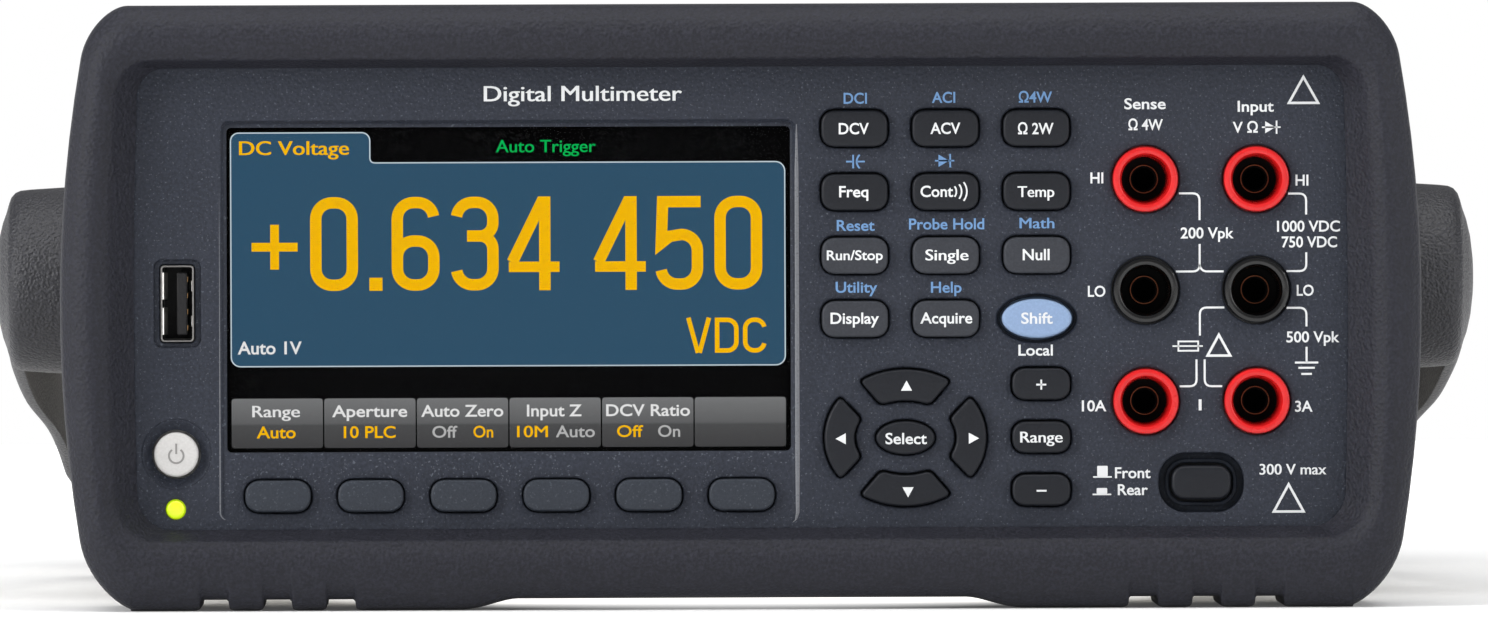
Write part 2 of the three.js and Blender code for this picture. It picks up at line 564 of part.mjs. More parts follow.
function makeFan() {
  const { x, z, size, front, back, bore, hub: hubRadius, tip, blades } = fan;
  const half = size / 2;
  const spiderFront = back - 1.3;
  const spider = [0, 90].map((turn) => {
    const bar = block(-bore - 0.5, bore + 0.5, spiderFront, back, -1.2, 1.2);
    return bar.rotate([0, turn + 45, 0]);
  });
  const frame = join(
    cut(block(-half, half, front, back, -half, half), disc(bore, front - 1, back + 1, 0, 0, 20)),
    disc(hubRadius, spiderFront, back), ...spider,
  );
  piece('fan_frame', 'black', frame, x, 0, z);
  const rotorBack = spiderFront - 0.5;
  const rotor = [disc(hubRadius, front + 0.6, rotorBack, 0, 0, 14)];
  for (let i = 0; i < blades; i += 1) {
    const blade = new THREE.BoxGeometry(tip - hubRadius + 1.5, 8, 1);
    blade.rotateX(THREE.MathUtils.degToRad(38)).translate((tip + hubRadius) / 2 - 0.9, 0, 0);
    blade.rotateY((2 * Math.PI * i) / blades).translate(0, (front + rotorBack) / 2, 0);
    rotor.push(solidOf(blade));
  }
  piece('fan_rotor', 'black', join(...rotor), x, 0, z);
}

function makeInlet() {
  const { left, right, bottom, top, front, flange, back } = inlet;
  const middle = (left + right) / 2;
  const mouth = rearPanel.back + gap;
  const body = block(left, right, front, back, bottom, top);
  const rim = block(left - flange, right + flange, mouth, back, bottom - flange, top + flange);
  const recess = block(middle - 12, middle + 12, front + 8, back + 1, bottom + 6, bottom + 22);
  const drawerHole = block(middle - drawer.halfWidth - gap, middle + drawer.halfWidth + gap,
    drawer.front - gap, back + 1, drawer.bottom - gap, drawer.top + gap);
  const pins = [-7, 0, 7].map((offset) => {
    const height = bottom + (offset ? 12.5 : 15.5);
    return block(middle + offset - 1, middle + offset + 1, front + 7, back - 5, height - 2, height + 2);
  });
  piece('mains_inlet', 'black', join(cut(join(body, rim), recess, drawerHole), ...pins));
  const tongue = block(middle - drawer.halfWidth, middle + drawer.halfWidth, drawer.front, drawer.back,
    drawer.bottom, drawer.top);
  const hollow = block(middle - 8, middle + 8, drawer.front + 2, back - 3, drawer.bottom + 2, drawer.top + 1);
  piece('mains_fuse_drawer', 'black', cut(tongue, hollow));
}

function makePivots() {
  for (const [name, side] of [['handle_pivot_left', -1], ['handle_pivot_right', 1]]) {
    const boss = turned([
      [0, pivot.inner], [pivot.flange, pivot.inner], [pivot.flange, pivot.flangeEnd],
      [pivot.radius, pivot.flangeEnd], [pivot.radius, pivot.end], [0, pivot.end],
    ], 0, 0, 20);
    piece(name, 'black', boss.rotate([0, 0, side * -90]), 0, hinge.y, hinge.z);
  }
}

// Sections of the handle's band: flat with a bevelled edge, across the run of the handle.
function handleLoops() {
  const right = handlePath.map(([x, y, z, halfWidth, thickness]) => ({
    centre: new THREE.Vector3(x, y, z), halfWidth, thickness,
  }));
  const left = right.slice(0, -1).map(({ centre, ...rest }) => ({
    centre: new THREE.Vector3(-centre.x, centre.y, centre.z), ...rest,
  }));
  const stations = [...right, ...left.reverse()];
  return stations.map(({ centre, halfWidth, thickness }, i) => {
    const before = stations[Math.max(i - 1, 0)].centre;
    const after = stations[Math.min(i + 1, stations.length - 1)].centre;
    const along = after.clone().sub(before).normalize();
    const turn = THREE.MathUtils.smoothstep(centre.y, 85, 126);
    const slope = armSlope + turn * (Math.PI / 2 - armSlope);
    const across = new THREE.Vector3(0, Math.sin(slope), Math.cos(slope));
    const through = new THREE.Vector3().crossVectors(along, across).normalize();
    const bevel = 1;
    const [w, t] = [halfWidth, thickness / 2];
    const outline = [
      [w, t - bevel], [w - bevel, t], [-w + bevel, t], [-w, t - bevel],
      [-w, bevel - t], [-w + bevel, -t], [w - bevel, -t], [w, bevel - t],
    ];
    return outline.map(([a, b]) => (
      centre.clone().addScaledVector(across, a).addScaledVector(through, b)));
  });
}

function makeHandle() {
  const profile = [
    [hub.bore, hub.inner], [hub.base, hub.inner], [hub.edge, hub.rim], [hub.edge - 5.5, hub.face - 0.8],
    [0, hub.face], [0, hub.boreEnd], [hub.bore, hub.boreEnd], [hub.bore, hub.inner],
  ];
  const hubs = [-1, 1].map((side) => turned(profile, 0, 0, 20).rotate([0, 0, side * -90]));
  piece('carry_handle', 'rubber', join(loft(handleLoops(), false), ...hubs), 0, hinge.y, hinge.z);
}

const keys = listKeys();
makeCover();
makeTray();
makeFrontPanel(keys);
makeRearPanel();
makeBumpers();
makePivots();
makeHandle();
makeDisplay();
makeKeys(keys);
makeJacks();
makeUsbPort();
makeBoards();
makeTransformer();
makeInlet();
makeFan();
makeRearTerminals();
makeDataPorts();

export default instrument;
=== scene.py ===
import math

import bmesh
import bpy
from mathutils import Matrix, Vector


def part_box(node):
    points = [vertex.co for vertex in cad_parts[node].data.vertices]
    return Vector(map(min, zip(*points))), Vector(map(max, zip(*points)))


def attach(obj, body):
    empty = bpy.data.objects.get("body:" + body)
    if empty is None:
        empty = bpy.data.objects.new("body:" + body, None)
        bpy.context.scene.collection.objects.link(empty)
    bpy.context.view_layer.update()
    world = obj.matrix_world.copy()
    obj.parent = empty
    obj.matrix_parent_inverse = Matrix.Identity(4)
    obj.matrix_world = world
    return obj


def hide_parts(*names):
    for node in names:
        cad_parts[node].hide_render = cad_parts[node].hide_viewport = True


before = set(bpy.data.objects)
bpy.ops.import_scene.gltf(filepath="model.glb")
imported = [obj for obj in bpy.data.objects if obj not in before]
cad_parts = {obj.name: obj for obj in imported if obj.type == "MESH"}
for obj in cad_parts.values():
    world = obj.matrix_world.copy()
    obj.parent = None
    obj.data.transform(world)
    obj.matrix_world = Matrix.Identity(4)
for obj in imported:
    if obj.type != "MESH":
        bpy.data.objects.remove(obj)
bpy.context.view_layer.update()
mm = 0.001


# camera, light and floor
view = {
    "eye": (-33.6, -2738.6, 80.0),
    "target": (0.4, -151.6, 51.0),
    "lens": 366.0,
    "roll": -0.2,
    "softboxTop": 18.0,
    "softboxLeft": 28.0,
    "softboxRight": 8.0,
    "horizon": 1.0,
    "sky": 0.35,
}


def makeCamera():
    camera = bpy.data.objects.new("camera", bpy.data.cameras.new("camera"))
    bpy.context.scene.collection.objects.link(camera)
    eye, target = Vector(view["eye"]) * mm, Vector(view["target"]) * mm
    camera.location = eye
    turn = (target - eye).to_track_quat("-Z", "Y").to_matrix()
    camera.rotation_euler = (turn @ Matrix.Rotation(math.radians(view["roll"]), 3, "Z")).to_euler()
    camera.data.lens = view["lens"]
    camera.data.sensor_width = 36
    camera.data.clip_end = 20
    bpy.context.scene.camera = camera


def makeLight(name, place, target, size, power):
    light = bpy.data.lights.new(name, "AREA")
    light.shape = "RECTANGLE"
    light.size, light.size_y = size
    light.energy = power
    holder = bpy.data.objects.new(name, light)
    bpy.context.scene.collection.objects.link(holder)
    holder.location = place
    holder.rotation_euler = (Vector(target) - Vector(place)).to_track_quat("-Z", "Y").to_euler()


# shader maths: a wrapped socket that takes Python operators
class Value:
    def __init__(self, tree, socket):
        self.tree = tree
        self.socket = socket

    def maths(self, operation, first, second):
        node = self.tree.nodes.new("ShaderNodeMath")
        node.operation = operation
        for port, item in zip(node.inputs, (first, second)):
            if isinstance(item, Value):
                self.tree.links.new(item.socket, port)
            else:
                port.default_value = item
        return Value(self.tree, node.outputs[0])

    def __add__(self, other):
        return self.maths("ADD", self, other)

    def __sub__(self, other):
        return self.maths("SUBTRACT", self, other)

    def __mul__(self, other):
        return self.maths("MULTIPLY", self, other)

    def __truediv__(self, other):
        return self.maths("DIVIDE", self, other)

    def __rsub__(self, other):
        return self.maths("SUBTRACT", other, self)

    __radd__ = __add__
    __rmul__ = __mul__


class NodeTree:
    # one way to add any node: its type, its settings, the values or links of its sockets
    def __init__(self, tree):
        self.tree = tree

    def node(self, kind, settings=None, inputs=None, output=0):
        node = self.tree.nodes.new(kind)
        for key, value in (settings or {}).items():
            if key == "stops":
                ramp = node.color_ramp
                while len(ramp.elements) < len(value):
                    ramp.elements.new(0.5)
                for element, (position, colour) in zip(ramp.elements, value):
                    element.position = position
                    element.color = colour
            else:
                setattr(node, key, value)
        for key, value in (inputs or {}).items():
            port = node.inputs[key]
            if isinstance(value, Value):
                self.tree.links.new(value.socket, port)
            else:
                port.default_value = value
        return Value(self.tree, node.outputs[output])

    def noise(self, point, scale, detail=2.0, roughness=0.5):
        return self.node("ShaderNodeTexNoise", None, {
            "Vector": point, "Scale": scale, "Detail": detail, "Roughness": roughness,
        })

    def ramp(self, value, low, high):
        return self.node("ShaderNodeMapRange", {"clamp": True}, {
            "Value": value, "From Min": low, "From Max": high, "To Min": 0.0, "To Max": 1.0,
        })

    def join(self, *parts):
        node = self.tree.nodes.new("GeometryNodeJoinGeometry")
        for part in reversed(parts):
            self.tree.links.new(part.socket, node.inputs[0])
        return Value(self.tree, node.outputs[0])

    def mixColour(self, share, first, second, blend="MIX"):
        mix = self.tree.nodes.new("ShaderNodeMix")
        mix.data_type = "RGBA"
        mix.blend_type = blend
        for port, item in ((mix.inputs[0], share), (mix.inputs[6], first), (mix.inputs[7], second)):
            if isinstance(item, Value):
                self.tree.links.new(item.socket, port)
            else:
                port.default_value = item
        return Value(self.tree, mix.outputs[2])


def shade(colour, factor):
    return tuple(min(1.0, channel * factor) for channel in colour[:3]) + (1.0,)


def finishMaterial(name, colour, roughness, constants=None, paint=None):
    # a principled surface; paint(tree, point) returns what varies: colour, roughness, height, metal
    material = bpy.data.materials.new(name)
    material.use_nodes = True
    nodes = material.node_tree.nodes
    shader = nodes["Principled BSDF"]
    links = material.node_tree.links
    shader.inputs["Base Color"].default_value = tuple(colour[:3]) + (1.0,)
    shader.inputs["Roughness"].default_value = roughness
    for key, value in (constants or {}).items():
        shader.inputs[key].default_value = value
    tree = NodeTree(material.node_tree)
    point = tree.node("ShaderNodeTexCoord", output="Object")
    for key, value in paint(tree, point).items():
        if key == "height":
            depth, field = value
            value = tree.node("ShaderNodeBump", None,
                              {"Strength": 1.0, "Distance": depth * mm, "Height": field})
            key = "Normal"
        links.new(value.socket, shader.inputs[key])
    return material


# moulded plastic or rubber: leathery grain, slow mottling, and light flecks where the real one has them
def mouldedMaterial(name, colour, roughness, grain, depth, flecks=0.0, mottle=0.1, specular=0.22,
                    contrast=0.3):
    def paint(tree, point):
        slow = tree.noise(point, 28.0, 3.0)
        fine = tree.noise(point, 1100.0 / grain, 3.0, 0.6)
        cells = tree.node("ShaderNodeTexVoronoi", {"feature": "SMOOTH_F1"},
                          {"Vector": point, "Scale": 1000.0 / grain})
        base = tree.mixColour(tree.ramp(slow, 0.3, 0.7), shade(colour, 1 - mottle), shade(colour, 1 + mottle))
        base = tree.mixColour(tree.ramp(fine, 0.42, 0.68),
                              tree.mixColour(contrast, base, (0.0, 0.0, 0.0, 1.0)),
                              tree.mixColour(contrast, base, shade(colour, 2.2)))
        if flecks:
            spots = tree.ramp(tree.noise(point, 2400.0, 1.0), 0.64, 0.74)
            base = tree.mixColour(spots * flecks, base, (0.2, 0.22, 0.26, 1.0))
        rough = roughness - 0.08 + tree.ramp(fine, 0.35, 0.7) * 0.16
        return {"Base Color": base, "Roughness": rough, "height": (depth, fine * 0.8 + cells)}
    return finishMaterial(name, colour, roughness, {"Specular IOR Level": specular}, paint)


# smooth parts: only faint handling marks and dust
def smoothMaterial(name, colour, roughness, constants=None, wear=0.06):
    def paint(tree, point):
        smears = tree.noise(point, 90.0, 4.0, 0.6)
        marks = tree.noise(point, 700.0, 2.0)
        base = tree.mixColour(tree.ramp(smears, 0.35, 0.7), shade(colour, 1 - wear), shade(colour, 1 + wear))
        rough = tree.ramp(smears, 0.3, 0.75) * 0.12 + (roughness - 0.04)
        return {"Base Color": base, "Roughness": rough, "height": (0.006, marks)}
    return finishMaterial(name, colour, roughness, constants, paint)


# sheet metal: brushed or rolled lines along one axis over a slow cloudiness
def metalMaterial(name, colour, roughness, along=(0.06, 1.0, 1.0), constants=None):
    def paint(tree, point):
        stretched = tree.node("ShaderNodeMapping", None, {"Vector": point, "Scale": along})
        lines = tree.noise(stretched, 1600.0, 2.0)
        cloud = tree.noise(point, 60.0, 3.0)
        base = tree.mixColour(tree.ramp(lines, 0.3, 0.7), shade(colour, 0.86), shade(colour, 1.1))
        rough = tree.ramp(cloud, 0.3, 0.7) * 0.14 + tree.ramp(lines, 0.3, 0.7) * 0.08 + (roughness - 0.1)
        return {"Base Color": base, "Roughness": rough, "height": (0.004, lines)}
    return finishMaterial(name, colour, roughness, {"Metallic": 1.0, **(constants or {})}, paint)


# powder coat: an orange-peel skin with a little dust in it
def paintMaterial(name, colour, roughness):
    def paint(tree, point):
        peel = tree.noise(point, 520.0, 2.0)
        fine = tree.noise(point, 2400.0, 1.0)
        cloud = tree.noise(point, 12.0, 3.0)
        base = tree.mixColour(tree.ramp(cloud, 0.3, 0.7), shade(colour, 0.96), shade(colour, 1.04))
        base = tree.mixColour(tree.ramp(fine, 0.6, 0.72) * 0.35, base, shade(colour, 0.72))
        return {"Base Color": base, "Roughness": tree.ramp(peel, 0.3, 0.7) * 0.14 + (roughness - 0.07),
                "height": (0.05, peel + fine * 0.4)}
    return finishMaterial(name, colour, roughness, None, paint)


# lit parts of the display: each keeps its own glow, with the cell grid as a faint ripple
def litMaterial(name, colour, strength=1.0, fade=None):
    def paint(tree, point):
        grid = tree.node("ShaderNodeTexWave", {"bands_direction": "Z"}, {"Vector": point, "Scale": 780.0})
        glow = tree.mixColour(tree.ramp(grid, 0.2, 0.9), shade(colour, 0.93), shade(colour, 1.0))
        if fade:
            height = tree.node("ShaderNodeSeparateXYZ", None, {"Vector": point}, output="Z")
            glow = tree.node("ShaderNodeValToRGB", {"stops": fade["stops"]}, {
                "Fac": tree.ramp(height, fade["low"] * mm, fade["high"] * mm),
            })
        return {"Emission Color": glow}
    constants = {"Emission Strength": strength, "Specular IOR Level": 0.0}
    return finishMaterial(name, (0.0, 0.0, 0.0), 0.6, constants, paint)


def circuitMaterial(name, colour):
    def paint(tree, point):
        tracks = tree.node("ShaderNodeTexVoronoi", {"feature": "DISTANCE_TO_EDGE"},
                           {"Vector": point, "Scale": 160.0})
        cloud = tree.noise(point, 40.0, 3.0)
        base = tree.mixColour(tree.ramp(tracks, 0.02, 0.06), shade(colour, 2.4), colour + (1.0,))
        base = tree.mixColour(tree.ramp(cloud, 0.4, 0.7) * 0.3, base, shade(colour, 0.5))
        return {"Base Color": base, "height": (0.03, tree.ramp(tracks, 0.02, 0.06))}
    return finishMaterial(name, colour, 0.4, None, paint)


finishes = {
    "bumper": mouldedMaterial("bumperRubber", (0.0162, 0.0168, 0.0238), 0.58, 0.62, 0.16, 0.0, 0.07),
    "handle": mouldedMaterial("handleLeather", (0.0128, 0.0131, 0.0182), 0.44, 0.5, 0.24, 0.0, 0.08, 0.5,
                              0.35),
    "panel": mouldedMaterial("panelPlastic", (0.0212, 0.0248, 0.036), 0.55, 0.55, 0.12, 0.3, 0.06, 0.22, 0.2),
    # painted highlight: a light grey for the beads along the display surround's ledges, standing in for the
    # light their edges catch
    "ledgeHighlight": mouldedMaterial("wornEdge", (0.11, 0.115, 0.13), 0.35, 0.4, 0.02, 0.0, 0.05, 0.6, 0.1),
    # painted shade: a darker blue-grey for the selector well and the ring round the Shift key, standing in
    # for the shade in these recesses
    "recessShade": mouldedMaterial("recessPlastic", (0.007, 0.0095, 0.0155), 0.6, 0.6, 0.06, 0.1, 0.06, 0.15),
    "keyDark": mouldedMaterial("darkKeycap", (0.0068, 0.008, 0.0116), 0.5, 0.45, 0.03, 0.0, 0.05, 0.25, 0.12),
    "keyGrey": mouldedMaterial("greyKeycap", (0.029, 0.0315, 0.039), 0.5, 0.45, 0.03, 0.0, 0.05, 0.25, 0.12),
    "keySoft": mouldedMaterial("softKeycap", (0.0235, 0.0282, 0.0378), 0.5, 0.45, 0.05, 0.15, 0.05, 0.25,
                               0.12),
    "keyBlue": mouldedMaterial("blueKeycap", (0.2, 0.285, 0.44), 0.45, 0.45, 0.02, 0.0, 0.03, 0.3, 0.05),
    "white": mouldedMaterial("whiteButton", (0.5, 0.49, 0.48), 0.45, 0.45, 0.02, 0.0, 0.02, 0.3, 0.04),
    "red": smoothMaterial("redPolycarbonate", (0.56, 0.01, 0.011), 0.26, {"Specular IOR Level": 0.4}),
    "black": smoothMaterial("blackPolycarbonate", (0.0015, 0.0015, 0.0018), 0.2, {"Specular IOR Level": 0.5}),
    # painted shade: near-black floors deep in the jack bores, standing in for the shade there
    "boreShade": smoothMaterial("insertBlack", (0.001, 0.001, 0.001), 0.7, {"Specular IOR Level": 0.1}),
    "blackPlastic": mouldedMaterial("blackPlastic", (0.0075, 0.0075, 0.0085), 0.5, 0.5, 0.05, 0.0, 0.08, 0.3,
                                    0.2),
    "brass": metalMaterial("contactBrass", (0.5, 0.3, 0.13), 0.35),
    "copper": metalMaterial("sleeveCopper", (0.2, 0.07, 0.035), 0.45),
    "nickel": metalMaterial("nickelPlate", (0.72, 0.7, 0.67), 0.3),
    "usbSteel": metalMaterial("portShell", (0.2, 0.195, 0.19), 0.4),
    "zinc": metalMaterial("zincSheet", (0.55, 0.56, 0.57), 0.45),
    "steelPaint": paintMaterial("greyPowderCoat", (0.5, 0.48, 0.44), 0.5),
    "rearPaint": paintMaterial("rearPanelPaint", (0.36, 0.36, 0.355), 0.5),
    "board": circuitMaterial("circuitBoard", (0.012, 0.1, 0.035)),
    "core": metalMaterial("laminatedCore", (0.2, 0.2, 0.21), 0.5, (1.0, 1.0, 0.05)),
    "inkWhite": smoothMaterial("whiteInk", (0.62, 0.63, 0.64), 0.6),
    "inkBlue": smoothMaterial("blueInk", (0.115, 0.235, 0.44), 0.6),
    "inkDark": smoothMaterial("darkInk", (0.02, 0.025, 0.032), 0.6),
    # painted shade: a darker grey for the power symbol, standing in for the shadow in its embossing
    "embossShade": smoothMaterial("greyInk", (0.22, 0.215, 0.21), 0.6),
    "led": finishMaterial("ledGlow", (0.5, 0.7, 0.02), 0.35, {"Emission Strength": 0.55}, lambda tree,
                          point: {
        "Emission Color": tree.mixColour(tree.noise(point, 600.0), (0.55, 0.75, 0.0, 1),
                                         (0.66, 0.86, 0.01, 1)),
    }),
    "litBlack": litMaterial("displayBlack", (0.0, 0.0, 0.0)),
    "litBlue": litMaterial("displayBlue", (0.03, 0.088, 0.152)),
    "litYellow": litMaterial("displayYellow", (1.0, 0.53, 0.0), 1.0),
    "litWhite": litMaterial("displayWhite", (0.86, 0.86, 0.86)),
    "litGrey": litMaterial("displayGrey", (0.5, 0.5, 0.5)),
    "litGreen": litMaterial("displayGreen", (0.0, 0.5, 0.09)),
    "litEdge": litMaterial("displayOutline", (0.62, 0.72, 0.78)),
    "litTab": litMaterial("displayTab", (0.2, 0.2, 0.2), 1.0, {"low": 27.8, "high": 36.3, "stops": [
        (0.0, (0.055, 0.055, 0.057, 1)), (0.45, (0.075, 0.076, 0.078, 1)), (0.5, (0.12, 0.122, 0.125, 1)),
        (1.0, (0.185, 0.188, 0.192, 1)),
    ]}),
}
glass = bpy.data.materials.new("windowGlass")


def makeGlass():
    # a clear sheet: mostly see-through, with its gloss left on and faint dust
    glass.use_nodes = True
    tree = NodeTree(glass.node_tree)
    shader = glass.node_tree.nodes["Principled BSDF"]
    shader.inputs["Base Color"].default_value = (0.02, 0.02, 0.022, 1)
    shader.inputs["Roughness"].default_value = 0.1
    shader.inputs["Specular IOR Level"].default_value = 0.12
    point = tree.node("ShaderNodeTexCoord", output="Object")
    dust = tree.ramp(tree.noise(point, 900.0, 2.0), 0.6, 0.8) * 0.03 + 0.05
    glass.node_tree.links.new(dust.socket, shader.inputs["Alpha"])


makeGlass()
print("materials:", len(finishes) + 1)


# mesh helpers, all in millimetres until the object is made
class Shell:
    def __init__(self):
        self.points = []
        self.faces = []

    def add(self, points, faces):
        start = len(self.points)
        self.points += [tuple(point) for point in points]
        self.faces += [tuple(start + i for i in face) for face in faces]
        return self

    def make(self, name, body, finish, slot, replaces=(), sharp=35, weld=True):
        mesh = bpy.data.meshes.new(name)
        mesh.from_pydata([Vector(point) * mm for point in self.points], [], self.faces)
        work = bmesh.new()
        work.from_mesh(mesh)
        if weld:
            bmesh.ops.remove_doubles(work, verts=work.verts, dist=0.002 * mm)
            bmesh.ops.dissolve_degenerate(work, edges=work.edges, dist=0.001 * mm)
        bmesh.ops.recalc_face_normals(work, faces=work.faces)
        work.to_mesh(mesh)
        work.free()
        return place(mesh, name, body, finish, slot, replaces, sharp)


def place(mesh, name, body, finish, slot, replaces=(), sharp=35):
    for face in mesh.polygons:
        face.use_smooth = True
    mesh.set_sharp_from_angle(angle=math.radians(sharp))
    mesh.materials.clear()
    mesh.materials.append(finishes[finish] if isinstance(finish, str) else finish)
    piece = bpy.data.objects.new(name, mesh)
    bpy.context.scene.collection.objects.link(piece)
    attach(piece, body)
    if replaces:
        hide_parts(*replaces)
    return piece


def corners(node):
    low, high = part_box(node)
    return low / mm, high / mm


def middle(node):
    low, high = corners(node)
    return (low + high) / 2


def arc(x, z, radius, start, end, steps):
    return [
        (x + radius * math.cos(math.radians(start + (end - start) * i / steps)),
         z + radius * math.sin(math.radians(start + (end - start) * i / steps)))
        for i in range(steps + 1)
    ]


def roundedRect(left, right, bottom, top, radius, steps=6):
    return (
        arc(right - radius, bottom + radius, radius, -90, 0, steps)
        + arc(right - radius, top - radius, radius, 0, 90, steps)
        + arc(left + radius, top - radius, radius, 90, 180, steps)
        + arc(left + radius, bottom + radius, radius, 180, 270, steps)
    )


def ellipse(x, z, halfWidth, halfHeight, steps=48):
    return [
        (x + halfWidth * math.cos(2 * math.pi * i / steps),
         z + halfHeight * math.sin(2 * math.pi * i / steps))
        for i in range(steps)
    ]


def circle(x, z, radius, steps=40):
    return ellipse(x, z, radius, radius, steps)


def offset(outline, grow):
    # moves a closed anticlockwise outline outwards by grow
    moved = []
    for i, (x, z) in enumerate(outline):
        (ax, az), (bx, bz) = outline[i - 1], outline[(i + 1) % len(outline)]
        length = math.hypot(bx - ax, bz - az) or 1.0
        moved.append((x + grow * (bz - az) / length, z - grow * (bx - ax) / length))
    return moved


def soften(outline, count, window):
    # evenly spaced points along the outline, averaged over a short window, which rounds its corners
    lengths = [0.0]
    for i, (x, z) in enumerate(outline):
        nx, nz = outline[(i + 1) % len(outline)]
        lengths.append(lengths[-1] + math.hypot(nx - x, nz - z))
    even = []
    at = 0
    for i in range(count):
        goal = lengths[-1] * i / count
        while lengths[at + 1] < goal:
            at += 1
        share = (goal - lengths[at]) / max(lengths[at + 1] - lengths[at], 1e-9)
        (x, z), (nx, nz) = outline[at], outline[(at + 1) % len(outline)]
        even.append((x + (nx - x) * share, z + (nz - z) * share))
    reach = max(1, round(window / 2 / (lengths[-1] / count)))
    span = range(-reach, reach + 1)
    return [
        tuple(sum(even[(i + k) % count][axis] for k in span) / len(span) for axis in (0, 1))
        for i in range(count)
    ]


def loft(loops, ring=False):
    count = len(loops[0])
    faces = []
    for row in range(len(loops) - (0 if ring else 1)):
        following = (row + 1) % len(loops)
        for i in range(count):
            j = (i + 1) % count
            faces.append((row * count + i, row * count + j, following * count + j, following * count + i))
    if not ring:
        faces.append(tuple(range(count))[::-1])
        faces.append(tuple((len(loops) - 1) * count + i for i in range(count)))
    return [point for loop in loops for point in loop], faces


def level(outline, y):
    return [(x, y, z) for x, z in outline]


def cap(outline, back, front, edge=0.5, crown=0.12):
    # a key or button with straight sides, a rounded edge and a face that swells a little towards its middle
    loops = [level(outline, back)]
    for step in range(6):
        angle = math.radians(90 * step / 5)
        grow = -edge * (1 - math.cos(angle))
        loops.append(level(offset(outline, grow), front + crown + edge * (1 - math.sin(angle))))
    rim = offset(outline, -edge)
    cx = sum(x for x, _ in rim) / len(rim)
    cz = sum(z for _, z in rim) / len(rim)
    for share in (0.8, 0.5, 0.2, 0.02):
        face = [(cx + (x - cx) * share, cz + (z - cz) * share) for x, z in rim]
        loops.append(level(face, front + crown * share ** 2))
    return loft(loops)


def turned(profile, place=(0, 0, 0), axis="Y", steps=48, ring=False):
    # spins (radius, along) pairs round an axis through place
    loops = []
    for i in range(steps):
        angle = 2 * math.pi * i / steps
        c, s = math.cos(angle), math.sin(angle)
        for_axis = {"Y": lambda r, a: (r * c, a, r * s), "X": lambda r, a: (a, r * c, r * s)}[axis]
        loops.append([tuple(p + q for p, q in zip(place, for_axis(r, a))) for r, a in profile])
    count = len(profile)
    faces = []
    for i in range(steps):
        j = (i + 1) % steps
        for k in range(count if ring else count - 1):
            n = (k + 1) % count
            faces.append((i * count + k, i * count + n, j * count + n, j * count + k))
    return [point for loop in loops for point in loop], faces


def readMesh(holder):
    mesh = bpy.data.meshes.new_from_object(holder)
    points = [tuple(vertex.co) for vertex in mesh.vertices]
    faces = [tuple(face.vertices) for face in mesh.polygons]
    bpy.data.meshes.remove(mesh)
    bpy.data.objects.remove(holder)
    return points, faces


def curvePlate(outlines, front, back, edge, lean=None):
    # the first outline is the plate and the rest are its holes; every edge is rounded over
    curve = bpy.data.curves.new("plate", "CURVE")
    curve.dimensions = "2D"
    curve.fill_mode = "BOTH"
    curve.extrude = (back - front) / 2 - edge
    curve.bevel_depth = edge
    curve.bevel_resolution = 2
    curve.offset = -edge
    for outline in outlines:
        spline = curve.splines.new("POLY")
        spline.points.add(len(outline) - 1)
        for point, (x, z) in zip(spline.points, outline):
            point.co = (x, z, 0, 1)
        spline.use_cyclic_u = True
    points, faces = readMesh(bpy.data.objects.new("plate", curve))
    centre = (front + back) / 2
    lean = lean or (lambda x, z: 0.0)
    return [(x, centre - y + lean(x, z), z) for x, z, y in points], faces


def slab(outline, front, back):
    return loft([level(outline, front), level(outline, back)])


def block(x0, x1, y0, y1, z0, z1, edge=0.3):
    # a box whose twelve edges are chamfered
    e = edge
    loops = []
    for y, inset in ((y0, e), (y0 + e, 0), (y1 - e, 0), (y1, e)):
        a, b, c, d = x0 + inset, x1 - inset, z0 + inset, z1 - inset
        loops.append([(a + e, y, c), (b - e, y, c), (b, y, c + e), (b, y, d - e),
                      (b - e, y, d), (a + e, y, d), (a, y, d - e), (a, y, c + e)])
    return loft(loops)


# lettering from the built-in font, as thin raised ink
def textShape(text, weight):
    curve = bpy.data.curves.new("text", "FONT")
    curve.body = text
    curve.size = 1.0
    curve.offset = weight
    curve.resolution_u = 4
    curve.extrude = 0.5
    return readMesh(bpy.data.objects.new("text", curve))


capitalHeight = max(point[1] for point in textShape("H", 0.0)[0])


def lettering(shell, text, x, z, width, height, y, weight=0.016, ink=0.03):
    # centred on x and z; width is the whole text's and height is its capitals'
    # some letters tear when their outline is offset, so text with them is thickened by shifted copies
    copies = (-weight, 0.0, weight) if weight and set("gMm") & set(text) else (0.0,)
    points, faces = textShape(text, 0.0 if len(copies) > 1 else weight)
    left = min(point[0] for point in points)
    right = max(point[0] for point in points)
    across = width / (right - left + 2 * copies[-1])
    up = height / capitalHeight
    middleX = (left + right) / 2
    for shift in copies:
        shell.add([(
            x + (px + shift - middleX) * across,
            y + pz * ink + shift * 0.3,
            z + (py - capitalHeight / 2) * up,
        ) for px, py, pz in points], faces)


def stroke(shell, path, width, y, ink=0.03, close=False):
    # a flat line of even width along a path of (x, z) points, mitred at its corners
    loops = []
    count = len(path)
    for i in range(count):
        here = Vector(path[i])
        before = Vector(path[i - 1]) if i or close else None
        after = Vector(path[(i + 1) % count]) if i < count - 1 or close else None
        come = (here - before).normalized() if before else (after - here).normalized()
        leave = (after - here).normalized() if after else come
        along = (come + leave).normalized() if (come + leave).length > 1e-6 else come
        side = Vector((along.y, -along.x))
        reach = width / 2 / max(0.4, side.dot(Vector((come.y, -come.x))))
        a, b = here + side * reach, here - side * reach
        loops.append([(a.x, y - ink / 2, a.y), (b.x, y - ink / 2, b.y), (b.x, y + ink / 2, b.y),
                      (a.x, y + ink / 2, a.y)])
    shell.add(*loft(loops, ring=close))


